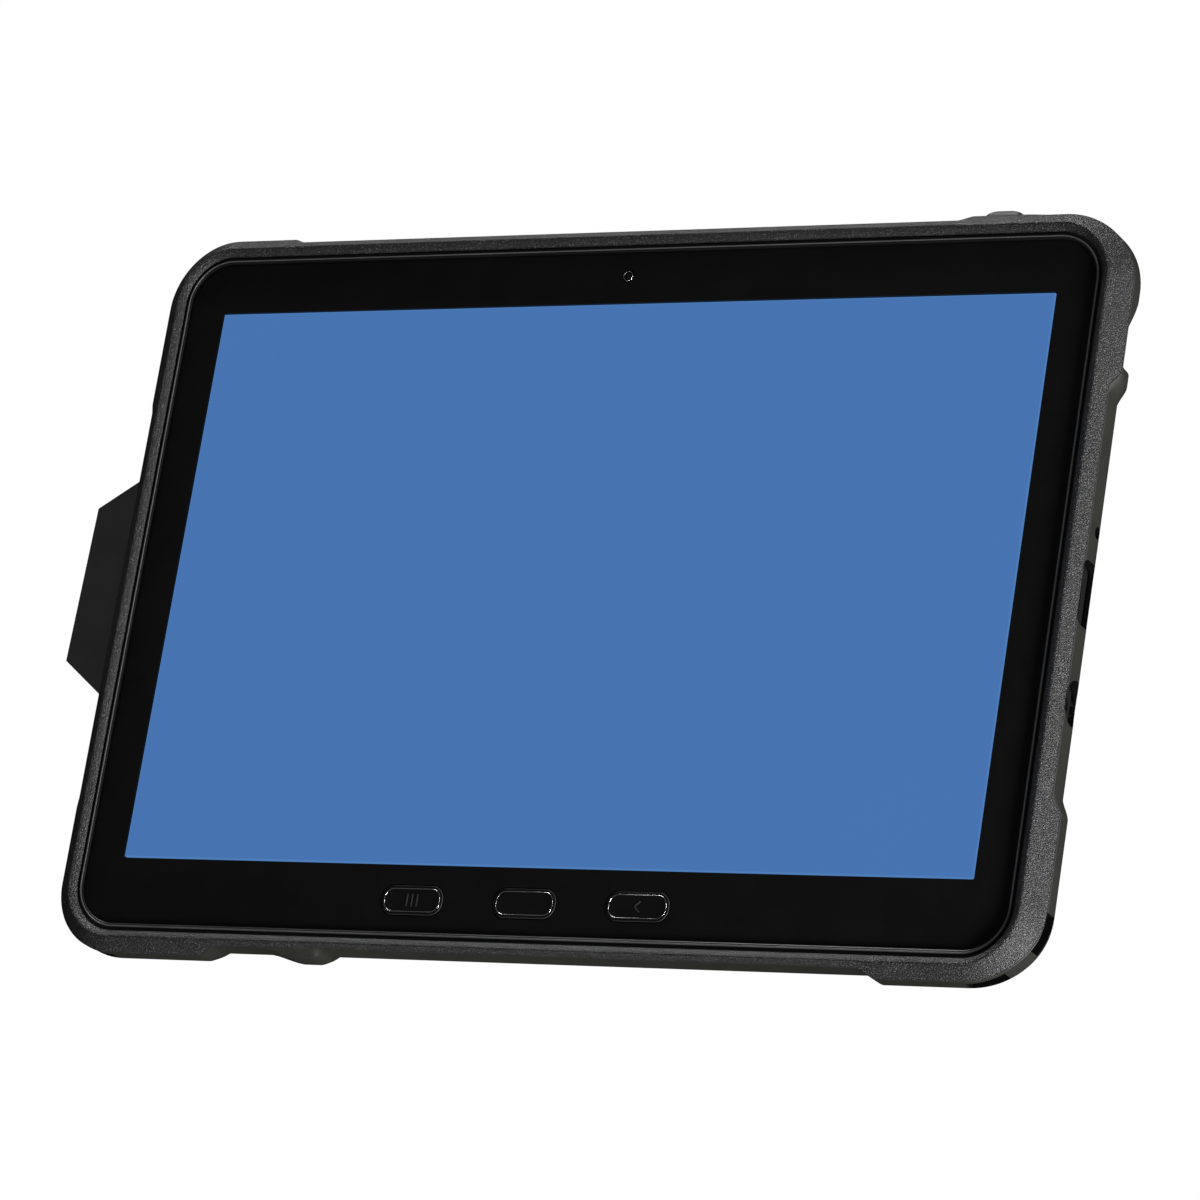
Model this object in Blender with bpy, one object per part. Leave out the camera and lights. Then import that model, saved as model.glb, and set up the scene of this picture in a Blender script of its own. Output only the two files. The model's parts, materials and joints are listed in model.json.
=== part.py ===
"""Rugged tablet case with its tablet: bumper, shell, turning hand strap and stand leg.

Run with blender --background --python part.py, or from Blender's text editor.
The tablet lies flat, screen up, with +X along its long side and +Y towards the front camera.
World origin: on the hub's axis, under the middle of the screen, level with the strap's flat face.
"""

import math

import bmesh
import bpy
from mathutils import Vector

MM = 0.001
GAP = 0.3 * MM

# Where the frames of reference are
GLASS_Z = 32.0 * MM
CASE_Y = -1.8 * MM
SHELL_BACK = -12.4 * MM
HUB_TURN = math.radians(-1.5)

# Every outline of the case is a rounded rectangle with this centre to its corner arcs
ARC_X, ARC_Y = 108.5 * MM, 72.5 * MM
ARC_STEPS = 8

# Outer walls: the corner guards' level, and how far the straight stretches step in from it
GUARD_X, GUARD_Y = 126.2 * MM, 89.1 * MM
RECESS = {"right": 1.8 * MM, "top": 1.15 * MM, "left": 1.0 * MM, "bottom": 2.0 * MM}
# Along each wall, in millimetres: (distance along it, 1 for guard level or 0 for recess).
# The shell has a lug on the right and one on the bottom that the bumper has not.
BUMPER_STEPS = {
    "right": [(-50.5, 1), (-47.8, 0), (47.8, 0), (51.6, 1)],
    "top": [(-93, 1), (-90, 0), (82.2, 0), (85.3, 1.3), (99, 1.3), (104, 1)],
    "left": [(-54, 1), (-51, 0.4), (0, 0.4), (20, 0), (45, 0), (48, 1)],
    "bottom": [(-84.5, 1), (-80, 0), (84, 0), (88, 1)],
}
SHELL_STEPS = {
    "right": [(-50.5, 1), (-46, 0), (46.3, 0), (50.3, 1), (52.5, 1), (55, -0.35), (62, -0.35), (70.4, 1)],
    "top": BUMPER_STEPS["top"],
    "left": BUMPER_STEPS["left"],
    "bottom": [(-84.5, 1), (-80, 0), (-67.8, 0), (-58.8, 1), (-54.4, 1), (-50.7, 0), (84, 0), (88, 1)],
}

# Bumper section: how far its inner edge and its crest are from the middle, and its heights
INNER_X, INNER_Y = 120.4 * MM, 84.1 * MM
CREST_X, CREST_Y, CREST_Z = 121.6 * MM, 86.0 * MM, 2.0 * MM
BEVEL_SLOPE = 0.915
BUMPER_EDGE = 0.4 * MM
TONGUE_DEPTH = 3.6 * MM
TONGUE_THICK = 0.8 * MM
FLANGE_TOP = 0.6 * MM

# Gasket section: inner edge and where its flange ends under the bumper
GASKET_X, GASKET_Y = 118.45 * MM, 82.55 * MM
FLANGE_X, FLANGE_Y = 121.4 * MM, 84.9 * MM

# Shell section
CAVITY_X, CAVITY_Y = 122.1 * MM, 85.45 * MM
CAVITY_FLOOR = -10.2 * MM
WALL_FOOT = -6.6 * MM
RABBET = TONGUE_THICK + GAP

# Tablet
TABLET_X, TABLET_Y, TABLET_THICK = 121.75 * MM, 85.1 * MM, 9.9 * MM
SCREEN_X, SCREEN_Y = 108.75 * MM, 67.95 * MM
GLASS_X, GLASS_Y, GLASS_THICK = 120.4 * MM, 83.75 * MM, 1.0 * MM
DISPLAY_THICK = 1.8 * MM
FRAME_PLATE_TOP, FRAME_PLATE_UNDER = -2.1 * MM, -2.7 * MM
COVER_SEAT = -8.6 * MM
COVER_X, COVER_Y = 120.6 * MM, 83.95 * MM
KEY_Y = -74.8 * MM
KEY_X = {"key_recents": -29.5 * MM, "key_home": -0.4 * MM, "key_back": 28.3 * MM}
KEY_LONG, KEY_WIDE, KEY_ROUND = 15.8 * MM, 6.8 * MM, 3.0 * MM
FRONT_CAMERA = (-0.2 * MM, 76.8 * MM)
REAR_CAMERA = (0.0, 68.8 * MM)
FLASH = (12.0 * MM, 68.8 * MM)

# Side openings in the right wall: centre along it, half length, height range
USB_Y, USB_HALF = 0.15 * MM, 7.45 * MM
PORT_TOP, PORT_FOOT = -0.7 * MM, -9.3 * MM
USB_ROUND = 2.2 * MM
AUDIO_Y, AUDIO_HALF = -24.7 * MM, 5.2 * MM
AUDIO_Z, AUDIO_RISE = -5.5 * MM, 4.8 * MM
MIC_Y, MIC_Z, MIC_R = 14.8 * MM, -5.5 * MM, 1.4 * MM
SOCKET_Z = -5.2 * MM

# Buttons in the upper wall: centre along it, half length, top of the window, how far it stands out
BUTTON_FOOT = -7.3 * MM
BUTTONS = {
    "power": (92.0 * MM, 5.2 * MM, -1.35 * MM, 91.2 * MM),
    "volume": (65.0 * MM, 10.0 * MM, -1.5 * MM, 88.0 * MM),
    "shortcut": (-75.0 * MM, 6.5 * MM, -1.5 * MM, 88.0 * MM),
}
CAP_INNER_Y = 85.65 * MM
KEY_OUTER_Y = 85.35 * MM
SIDE_KEY_Z, SIDE_KEY_RISE = -5.9 * MM, 1.3 * MM

# Strap slots in the two lower corner guards
SLOT_TOP, SLOT_FOOT = -2.9 * MM, -6.7 * MM
SLOT_BRIDGE = (32.4, 57.5)
SLOT_ENDS = (0.7, 88.0)
CHANNEL_OUT, CHANNEL_IN = 2.0 * MM, 4.8 * MM

# Hub on the back, in the hub's own frame: z is 0 on the shell's back and falls away from it
BASE_R, FLANGE_R = 24.0 * MM, 27.6 * MM
FLANGE_Z, BASE_FOOT = -3.0 * MM, -4.8 * MM
SCREW_RING, SCREW_COUNT = 18.0 * MM, 6
SCREW_R, SCREW_HEAD_R, SCREW_HEAD_Z = 1.0 * MM, 2.1 * MM, -3.6 * MM
COUNTERBORE_R, COUNTERBORE_Z = 2.4 * MM, -3.3 * MM
TABLE_R, TABLE_BORE, TABLE_FOOT, LEDGE_FOOT = 41.0 * MM, 27.9 * MM, -5.2 * MM, -2.0 * MM
ARM_X, ARM_THICK, ARM_FOOT = 28.5 * MM, 4.0 * MM, -7.0 * MM
BAR_Y, BAR_Z, BAR_R = 46.0 * MM, -4.2 * MM, 1.5 * MM
STRAP_HALF, STRAP_THICK, STRAP_FLAT = 25.0 * MM, 1.6 * MM, 27.0 * MM
STRAP_APEX = -(GLASS_Z + SHELL_BACK)
ENDS = {-1: "low", 1: "high"}
PAD_HALF, PAD_THICK = (29.0 * MM, 25.0 * MM), 3.5 * MM

# Stand leg, in the hub's frame
PIN_X, PIN_Z, PIN_R, BARREL_R = -47.0 * MM, -2.9 * MM, 1.2 * MM, 2.6 * MM
KNUCKLE_HALF, LUG_THICK = 16.0 * MM, 7.7 * MM
LEG_START, LEG_SHOULDER, LEG_TIP = -50.5 * MM, -124.6 * MM, -143.9 * MM
LEG_HALF, TIP_HALF, LEG_THICK = 33.0 * MM, 19.5 * MM, 3.0 * MM


# ---------------------------------------------------------------- tools

def clear_scene():
    for item in list(bpy.data.objects):
        bpy.data.objects.remove(item, do_unlink=True)


def material(name, color, roughness, metallic=0.0):
    made = bpy.data.materials.new(name)
    made.use_nodes = True
    shader = made.node_tree.nodes["Principled BSDF"]
    shader.inputs["Base Color"].default_value = (*color, 1.0)
    shader.inputs["Roughness"].default_value = roughness
    shader.inputs["Metallic"].default_value = metallic
    made.diffuse_color = (*color, 1.0)
    return made


def empty(name, location, parent=None, turn=0.0):
    made = bpy.data.objects.new(name, None)
    made.empty_display_size = 0.01
    made.location = location
    made.rotation_euler = (0.0, 0.0, turn)
    made.parent = parent
    bpy.context.collection.objects.link(made)
    return made


def place(name, mesh, look, parent, at=(0.0, 0.0, 0.0)):
    """An object from a bmesh, with its own origin at a point of its parent's frame."""
    bmesh.ops.recalc_face_normals(mesh, faces=mesh.faces)
    data = bpy.data.meshes.new(name)
    mesh.to_mesh(data)
    mesh.free()
    data.shade_smooth()
    data.set_sharp_from_angle(angle=math.radians(30))
    if look:
        data.materials.append(look)
    made = bpy.data.objects.new(name, data)
    made.parent = parent
    made.location = at
    bpy.context.collection.objects.link(made)
    return made


def cutter(name, mesh, parent, at=(0.0, 0.0, 0.0)):
    made = place(name, mesh, None, parent, at)
    made.hide_render = True
    made.display_type = "WIRE"
    return made


def join(target, tool, operation="DIFFERENCE"):
    step = target.modifiers.new(f"{operation.lower()}_{tool.name}", "BOOLEAN")
    step.operation = operation
    step.solver = "EXACT"
    step.object = tool


def loft(rings, closed):
    """A skin over rings of equally many points: a closed profile, or one with its two ends capped."""
    mesh = bmesh.new()
    rows = [[mesh.verts.new(point) for point in ring] for ring in rings]
    pairs = list(zip(rows, rows[1:]))
    if closed:
        pairs.append((rows[-1], rows[0]))
    else:
        mesh.faces.new(rows[0])
        mesh.faces.new(rows[-1][::-1])
    for low, high in pairs:
        for i in range(len(low)):
            j = (i + 1) % len(low)
            mesh.faces.new((low[i], high[i], high[j], low[j]))
    return mesh


def prism(outline, low, high, axis="z"):
    """A straight bar with a given outline, along one axis. The outline is given in the other two."""
    order = {"x": lambda a, b, c: (c, a, b), "y": lambda a, b, c: (a, c, b), "z": lambda a, b, c: (a, b, c)}
    put = order[axis]
    return loft([[put(a, b, c) for a, b in outline] for c in (low, high)], closed=False)


def block(low, high):
    corners = [(low[0], low[1]), (high[0], low[1]), (high[0], high[1]), (low[0], high[1])]
    return prism(corners, low[2], high[2])


def oval(center, half_a, half_b, steps=24):
    turns = (math.tau * i / steps for i in range(steps))
    return [(center[0] + half_a * math.cos(t), center[1] + half_b * math.sin(t)) for t in turns]


def rounded(center, half_a, half_b, radius, steps=5):
    """The outline of a rounded rectangle."""
    points = []
    for quarter, (a, b) in enumerate(((1, 1), (-1, 1), (-1, -1), (1, -1))):
        middle = (center[0] + a * (half_a - radius), center[1] + b * (half_b - radius))
        for i in range(steps + 1):
            turn = math.radians(90 * (quarter + i / steps))
            points.append((middle[0] + radius * math.cos(turn), middle[1] + radius * math.sin(turn)))
    return points


def lathe(profile, steps=48):
    """A turned ring or disc about Z. A profile that starts and ends on the axis makes a disc."""
    def ring(radius, height):
        return [(radius * math.cos(t), radius * math.sin(t), height)
                for t in (math.tau * i / steps for i in range(steps))]
    solid = profile[0][0] == 0.0
    rings = [ring(radius, height) for radius, height in profile if radius > 0.0]
    return loft(rings, closed=not solid)


# ---------------------------------------------------------------- outlines of the case

def stations(side):
    """The places along one straight wall where its outline needs a point, in millimetres."""
    end = (ARC_Y if side in ("right", "left") else ARC_X) / MM
    knots = {at for at, _ in BUMPER_STEPS[side] + SHELL_STEPS[side]}
    return sorted(knots | {-end, end})


def step_in(steps, side, at):
    """How far the wall stands in from guard level at one place along it."""
    knots = steps[side]
    share = knots[0][1] if at < knots[0][0] else knots[-1][1]
    for (start, low), (end, high) in zip(knots, knots[1:]):
        if start <= at <= end:
            share = low + (high - low) * (at - start) / (end - start)
    return (1.0 - share) * RECESS[side]


def outline(half_x, half_y, steps=None):
    """Points round the case: a rounded rectangle, stepped in along its walls if steps are given."""
    points = []

    def wall(side, normal, order):
        for at in stations(side)[::order]:
            inset = step_in(steps, side, at) if steps else 0.0
            if normal[0]:
                points.append((normal[0] * (half_x - inset), at * MM))
            else:
                points.append((at * MM, normal[1] * (half_y - inset)))

    def corner(sign_x, sign_y, first):
        for i in range(1, ARC_STEPS):
            turn = math.radians(first + 90.0 * i / ARC_STEPS)
            points.append((sign_x * ARC_X + (half_x - ARC_X) * math.cos(turn),
                           sign_y * ARC_Y + (half_y - ARC_Y) * math.sin(turn)))

    wall("right", (1, 0), 1)
    corner(1, 1, 0)
    wall("top", (0, 1), -1)
    corner(-1, 1, 90)
    wall("left", (-1, 0), -1)
    corner(-1, -1, 180)
    wall("bottom", (0, -1), 1)
    corner(1, -1, 270)
    return points


def level(half_x, half_y, height, steps=None):
    return [(x, y, height) for x, y in outline(half_x, half_y, steps)]


def bevel_ring(drop=0.0):
    """The foot of the bumper's outer bevel, which falls with its distance from the ridge."""
    ridge = outline(CREST_X, CREST_Y)
    foot = outline(GUARD_X, GUARD_Y, BUMPER_STEPS)
    return [(x, y, CREST_Z - BEVEL_SLOPE * math.hypot(x - a, y - b) - drop)
            for (a, b), (x, y) in zip(ridge, foot)]


def at_parting(half_x, half_y, drop, steps=None):
    """A ring at the height of the parting line, which follows the bevel's foot."""
    heights = (z for _, _, z in bevel_ring(BUMPER_EDGE + drop))
    return [(x, y, z) for (x, y), z in zip(outline(half_x, half_y, steps), heights)]


# ---------------------------------------------------------------- case

def make_bumper(case, look):
    under = FLANGE_TOP + GAP
    tongue_x, tongue_y = CAVITY_X + TONGUE_THICK, CAVITY_Y + TONGUE_THICK
    rings = [
        level(INNER_X, INNER_Y, under),
        level(CREST_X - 0.25 * MM, CREST_Y - 0.3 * MM, CREST_Z - 0.12 * MM),
        level(CREST_X, CREST_Y, CREST_Z),
        level(CREST_X + 0.3 * MM, CREST_Y + 0.25 * MM, CREST_Z - 0.2 * MM),
        bevel_ring(),
        at_parting(GUARD_X, GUARD_Y, 0.0, BUMPER_STEPS),
        at_parting(tongue_x, tongue_y, 0.0),
        level(tongue_x, tongue_y, -TONGUE_DEPTH),
        level(CAVITY_X, CAVITY_Y, -TONGUE_DEPTH),
        level(CAVITY_X, CAVITY_Y, under),
    ]
    return place("front_bumper", loft(rings, closed=True), look, case)


def make_gasket(case, look):
    """Thin flange under the bumper's ridge, with a bead along its inner edge."""
    rings = [
        level(GASKET_X, GASKET_Y, GAP),
        level(GASKET_X, GASKET_Y, 0.7 * MM),
        level(GASKET_X + 0.5 * MM, GASKET_Y + 0.75 * MM, 0.9 * MM),
        level(GASKET_X + 1.05 * MM, GASKET_Y + 1.15 * MM, FLANGE_TOP),
        level(FLANGE_X, FLANGE_Y, FLANGE_TOP),
        level(FLANGE_X, FLANGE_Y, GAP),
    ]
    return place("screen_gasket", loft(rings, closed=True), look, case)


def make_shell(case, look):
    rabbet_x, rabbet_y = CAVITY_X + RABBET, CAVITY_Y + RABBET
    rabbet_floor = -TONGUE_DEPTH - GAP
    turn_in, back_edge = 1.8 * MM, 4.6 * MM
    rings = [
        level(CAVITY_X, CAVITY_Y, CAVITY_FLOOR),
        level(CAVITY_X, CAVITY_Y, rabbet_floor),
        level(rabbet_x, rabbet_y, rabbet_floor),
        at_parting(rabbet_x, rabbet_y, GAP),
        at_parting(GUARD_X, GUARD_Y, GAP, SHELL_STEPS),
        level(GUARD_X, GUARD_Y, WALL_FOOT, SHELL_STEPS),
        level(GUARD_X - turn_in, GUARD_Y - turn_in, -10.4 * MM, SHELL_STEPS),
        level(GUARD_X - back_edge, GUARD_Y - back_edge, SHELL_BACK, SHELL_STEPS),
    ]
    return place("rear_shell", loft(rings, closed=False), look, case)


def port_cutters(case):
    """Openings in the right wall for the socket, the jack and the microphone."""
    inside, outside = 118.0 * MM, 130.0 * MM
    middle = (USB_Y, (PORT_TOP + PORT_FOOT) / 2)
    usb = rounded(middle, USB_HALF, (PORT_TOP - PORT_FOOT) / 2, USB_ROUND)
    audio = oval((AUDIO_Y, AUDIO_Z), AUDIO_HALF, AUDIO_RISE)
    microphone = oval((MIC_Y, MIC_Z), MIC_R, MIC_R, 16)
    outlines = {"usb_cut": usb, "audio_cut": audio, "mic_cut": microphone}
    return [cutter(name, prism(shape, inside, outside, "x"), case) for name, shape in outlines.items()]


def button_cutters(case):
    tools = []
    for name, (middle, half, top, _) in BUTTONS.items():
        low = (middle - half - GAP, 83.0 * MM, BUTTON_FOOT)
        high = (middle + half + GAP, 92.0 * MM, top)
        tools.append(cutter(f"{name}_window", block(low, high), case))
    return tools


def slot_cutter(name, side, case):
    """A channel behind a corner guard, open to the outside on either side of a bridge."""
    def arc(depth_x, depth_y, first, last, steps=6):
        turns = (math.radians(first + (last - first) * i / steps) for i in range(steps + 1))
        return [(side * (ARC_X + depth_x * math.cos(t)), -ARC_Y - depth_y * math.sin(t)) for t in turns]

    guard = (GUARD_X - ARC_X, GUARD_Y - ARC_Y)
    outside = (guard[0] + 3 * MM, guard[1] + 3 * MM)
    bridge = (guard[0] - CHANNEL_OUT, guard[1] - CHANNEL_OUT)
    inside = (guard[0] - CHANNEL_IN, guard[1] - CHANNEL_IN)
    shape = arc(*outside, SLOT_ENDS[0], SLOT_BRIDGE[0])
    shape += arc(*bridge, SLOT_BRIDGE[0], SLOT_BRIDGE[1])
    shape += arc(*outside, SLOT_BRIDGE[1], SLOT_ENDS[1])
    shape += arc(*inside, SLOT_ENDS[1], SLOT_ENDS[0], 12)
    return cutter(name, prism(shape, SLOT_FOOT, SLOT_TOP), case)


def make_cap(name, case, look):
    """A button cover in the upper wall, with its outer edges rounded off."""
    middle, half, top, outer = BUTTONS[name]
    high, low = top - GAP, BUTTON_FOOT + GAP
    center_z, rise, round_off = (high + low) / 2, (high - low) / 2, 0.8 * MM
    # The cap's own origin is on its inner face, so depths are measured from there
    depth = outer - CAP_INNER_Y
    layers = ((0.0, 0.0), (depth - round_off, 0.0), (depth - 0.25 * MM, 0.3 * MM), (depth, round_off))
    rings = [[(a, at, b) for a, b in rounded((0.0, 0.0), half - inset, rise - inset, 1.3 * MM)]
             for at, inset in layers]
    return place(f"{name}_cap", loft(rings, closed=False), look, case, (middle, CAP_INNER_Y, center_z))


# ---------------------------------------------------------------- hub, strap and leg

def screw_places():
    turns = (math.tau * (i + 0.5) / SCREW_COUNT for i in range(SCREW_COUNT))
    return [(SCREW_RING * math.cos(t), SCREW_RING * math.sin(t)) for t in turns]


def make_base(base, look):
    """The fixed disc on the shell's back, its flange holding the turntable."""
    profile = [(0.0, -GAP), (BASE_R, -GAP), (BASE_R, FLANGE_Z), (FLANGE_R, FLANGE_Z),
               (FLANGE_R, BASE_FOOT), (0.0, BASE_FOOT)]
    disc = place("swivel_base", lathe(profile), look, base)
    for i, (x, y) in enumerate(screw_places(), start=1):
        bore = lathe([(0.0, 3 * MM), (SCREW_R + GAP, 3 * MM), (SCREW_R + GAP, COUNTERBORE_Z),
                      (COUNTERBORE_R, COUNTERBORE_Z), (COUNTERBORE_R, -6 * MM), (0.0, -6 * MM)], 12)
        join(disc, cutter(f"screw_cut_{i}", bore, base, (x, y, 0.0)))
    return disc


def make_screws(base, look):
    """Pan-head screws up through the base into the shell's floor."""
    tip = 1.9 * MM
    for i, (x, y) in enumerate(screw_places(), start=1):
        profile = [(0.0, tip), (SCREW_R, tip), (SCREW_R, SCREW_HEAD_Z), (SCREW_HEAD_R, SCREW_HEAD_Z),
                   (SCREW_HEAD_R, -4.4 * MM), (1.5 * MM, -4.7 * MM), (0.0, -4.7 * MM)]
        place(f"base_screw_{i}", lathe(profile, 12), look, base, (x, y, 0.0))


def make_washer(base, look):
    inner, outer = BASE_R + 0.4 * MM, FLANGE_R - GAP
    top, foot = LEDGE_FOOT - GAP, FLANGE_Z + GAP
    place("friction_washer", lathe([(inner, top), (outer, top), (outer, foot), (inner, foot)]), look, base)


def make_turntable(hub, look):
    """Turning ring with four arms for the strap's bars and two lugs for the leg's pin."""
    bevel = 0.8 * MM
    profile = [(BASE_R + GAP, -GAP), (TABLE_R, -GAP), (TABLE_R, TABLE_FOOT + bevel),
               (TABLE_R - bevel, TABLE_FOOT), (TABLE_BORE, TABLE_FOOT), (TABLE_BORE, LEDGE_FOOT),
               (BASE_R + GAP, LEDGE_FOOT)]
    table = place("turntable", lathe(profile), look, hub)
    for end in (-1, 1):
        for side in (-1, 1):
            shape = [(end * 25 * MM, -GAP), (end * (BAR_Y + 3 * MM), -GAP), (end * (BAR_Y + 3 * MM), -5.0 * MM),
                     (end * (BAR_Y + 1.5 * MM), ARM_FOOT), (end * (BAR_Y - 3 * MM), ARM_FOOT),
                     (end * 34 * MM, TABLE_FOOT), (end * 29 * MM, TABLE_FOOT + 0.1 * MM)]
            across = sorted((side * ARM_X, side * (ARM_X + ARM_THICK)))
            name = f"arm_{ENDS[end]}_{ENDS[side]}"
            join(table, cutter(name, prism(shape, *across, "x"), hub), "UNION")
    for end in (-1, 1):
        barrel = oval((0.0, 0.0), BARREL_R, BARREL_R, 20)
        lug = [(x, z) for x, z in barrel if x < 0.5 * MM]
        lug = sorted(lug, key=lambda p: math.atan2(p[1], p[0]) % math.tau)
        lug += [(9.5 * MM, -1.9 * MM), (9.5 * MM, BARREL_R)]
        across = sorted((end * (KNUCKLE_HALF + GAP), end * (KNUCKLE_HALF + GAP + LUG_THICK)))
        tool = cutter(f"lug_{ENDS[end]}", prism(lug, *across, "y"), hub, (PIN_X, 0.0, PIN_Z))
        join(table, tool, "UNION")
    bar_hole = oval((0.0, 0.0), BAR_R + GAP, BAR_R + GAP, 16)
    for end in (-1, 1):
        reach = ARM_X + ARM_THICK + 1 * MM
        tool = prism(bar_hole, -reach, reach, "x")
        join(table, cutter(f"bar_cut_{ENDS[end]}", tool, hub, (0.0, end * BAR_Y, BAR_Z)))
    pin_hole = oval((0.0, 0.0), PIN_R + GAP, PIN_R + GAP, 16)
    reach = KNUCKLE_HALF + LUG_THICK - 0.4 * MM
    join(table, cutter("pin_cut", prism(pin_hole, -reach, reach, "y"), hub, (PIN_X, 0.0, PIN_Z)))
    return table


def make_bars(hub, look):
    for name, end in (("strap_bar_upper", 1), ("strap_bar_lower", -1)):
        reach = ARM_X + ARM_THICK - 0.4 * MM
        place(name, prism(oval((0.0, 0.0), BAR_R, BAR_R, 16), -reach, reach, "x"), look,
              hub, (0.0, end * BAR_Y, BAR_Z))


def strap_path():
    """Half of the strap's centre line as (y, z): flat under the hub, up the bar's outside and over it."""
    start = Vector((STRAP_FLAT, STRAP_APEX + STRAP_THICK / 2))
    loop_r = BAR_R + GAP + STRAP_THICK / 2
    end = Vector((BAR_Y + loop_r, BAR_Z))
    pull_out, pull_down = start + Vector((13 * MM, 0.0)), end - Vector((0.0, 9.8 * MM))
    path = []
    for i in range(11):
        t = i / 10
        path.append(start * (1 - t) ** 3 + pull_out * 3 * t * (1 - t) ** 2
                    + pull_down * 3 * t * t * (1 - t) + end * t ** 3)
    for i in range(1, 9):
        turn = math.pi * i / 8
        path.append(Vector((BAR_Y + loop_r * math.cos(turn), BAR_Z + loop_r * math.sin(turn))))
    path.append(path[-1] - Vector((0.0, 3.5 * MM)))
    return path


def make_strap(hub, look):
    half = strap_path()
    path = [Vector((-p.x, p.y)) for p in half[::-1]] + half
    sides = ([], [])
    for i, point in enumerate(path):
        along = (path[min(i + 1, len(path) - 1)] - path[max(i - 1, 0)]).normalized()
        across = Vector((-along.y, along.x)) * STRAP_THICK / 2
        sides[0].append(tuple(point + across))
        sides[1].append(tuple(point - across))
    shape = sides[0] + sides[1][::-1]
    place("hand_strap", prism(shape, -STRAP_HALF, STRAP_HALF, "x"), look, hub)


def make_pad(hub, look):
    foot = STRAP_APEX + STRAP_THICK + GAP
    layers = ((0.0, 0.8 * MM), (0.8 * MM, 0.0), (PAD_THICK - 1.2 * MM, 0.0), (PAD_THICK, 1.6 * MM))
    rings = []
    for up, inset in layers:
        shape = rounded((0.0, 0.0), PAD_HALF[0] - inset, PAD_HALF[1] - inset, 6 * MM)
        rings.append([(x, y, foot + up) for x, y in shape])
    place("strap_pad", loft(rings, closed=False), look, hub)


def make_leg(hinge, look):
    """Flat leg with a knuckle, in a frame whose origin is on the pin's axis."""
    top, foot = -GAP - PIN_Z, -GAP - LEG_THICK - PIN_Z
    start, shoulder, tip = LEG_START - PIN_X, LEG_SHOULDER - PIN_X, LEG_TIP - PIN_X
    bend = shoulder - 2.4 * MM
    shape = [(start, -LEG_HALF + 7 * MM), (start, LEG_HALF - 7 * MM), (start - 7 * MM, LEG_HALF),
             (shoulder, LEG_HALF), (bend, LEG_HALF - 1.6 * MM), (tip, TIP_HALF), (tip, -TIP_HALF),
             (bend, -LEG_HALF + 1.6 * MM), (shoulder, -LEG_HALF), (start - 7 * MM, -LEG_HALF)]
    leg = place("stand_leg", prism(shape, foot, top), look, hinge)
    barrel = [(x, z) for x, z in oval((0.0, 0.0), BARREL_R, BARREL_R, 20) if x > -0.5 * MM]
    barrel = sorted(barrel, key=lambda p: math.atan2(p[1], p[0]))
    knuckle = barrel + [(start - 1 * MM, BARREL_R - 0.1 * MM), (start - 1 * MM, foot + 0.2 * MM)]
    join(leg, cutter("knuckle", prism(knuckle, -KNUCKLE_HALF, KNUCKLE_HALF, "y"), hinge), "UNION")
    hole = prism(oval((0.0, 0.0), PIN_R + GAP, PIN_R + GAP, 16), -20 * MM, 20 * MM, "y")
    join(leg, cutter("leg_pin_cut", hole, hinge))


def make_pin(hub, look):
    reach = KNUCKLE_HALF + LUG_THICK - 0.8 * MM
    place("leg_pin", prism(oval((0.0, 0.0), PIN_R, PIN_R, 16), -reach, reach, "y"), look,
          hub, (PIN_X, 0.0, PIN_Z))


# ---------------------------------------------------------------- tablet

def make_tablet_frame(tablet, look):
    """Side wall with a plate across it: display above, battery and board below."""
    seat = -GLASS_THICK - GAP
    glass_ledge, ledge = 2.4 * MM, 1.6 * MM
    rings = [
        level(GLASS_X - glass_ledge, GLASS_Y - glass_ledge, FRAME_PLATE_TOP),
        level(GLASS_X - glass_ledge, GLASS_Y - glass_ledge, seat),
        level(GLASS_X + GAP, GLASS_Y + GAP, seat),
        level(GLASS_X + GAP, GLASS_Y + GAP, -0.1 * MM),
        level(TABLET_X, TABLET_Y, -0.1 * MM),
        level(TABLET_X, TABLET_Y, -TABLET_THICK),
        level(COVER_X + GAP, COVER_Y + GAP, -TABLET_THICK),
        level(COVER_X + GAP, COVER_Y + GAP, COVER_SEAT),
        level(COVER_X - ledge, COVER_Y - ledge, COVER_SEAT),
        level(COVER_X - ledge, COVER_Y - ledge, FRAME_PLATE_UNDER),
    ]
    frame = place("tablet_frame", loft(rings, closed=False), look, tablet)
    inside, outside = 117.0 * MM, 124.0 * MM
    holes = {
        "socket_cut": rounded((USB_Y, SOCKET_Z), 4.8 * MM, 1.9 * MM, 1.6 * MM),
        "jack_cut": oval((AUDIO_Y, AUDIO_Z), 2.7 * MM, 2.7 * MM, 20),
        "mic_port_cut": oval((MIC_Y, MIC_Z), 0.5 * MM, 0.5 * MM, 8),
    }
    for name, shape in holes.items():
        join(frame, cutter(name, prism(shape, inside, outside, "x"), tablet))
    for name, (middle, half, _, _) in BUTTONS.items():
        shape = rounded((middle, SIDE_KEY_Z), half - 0.7 * MM, SIDE_KEY_RISE + GAP, 1.0 * MM)
        join(frame, cutter(f"{name}_key_cut", prism(shape, 81.0 * MM, 87.0 * MM, "y"), tablet))
    lens = oval(REAR_CAMERA, 4.0 * MM, 4.0 * MM)
    join(frame, cutter("rear_camera_clearance", prism(lens, -12 * MM, FRAME_PLATE_UNDER - GAP), tablet))


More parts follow.
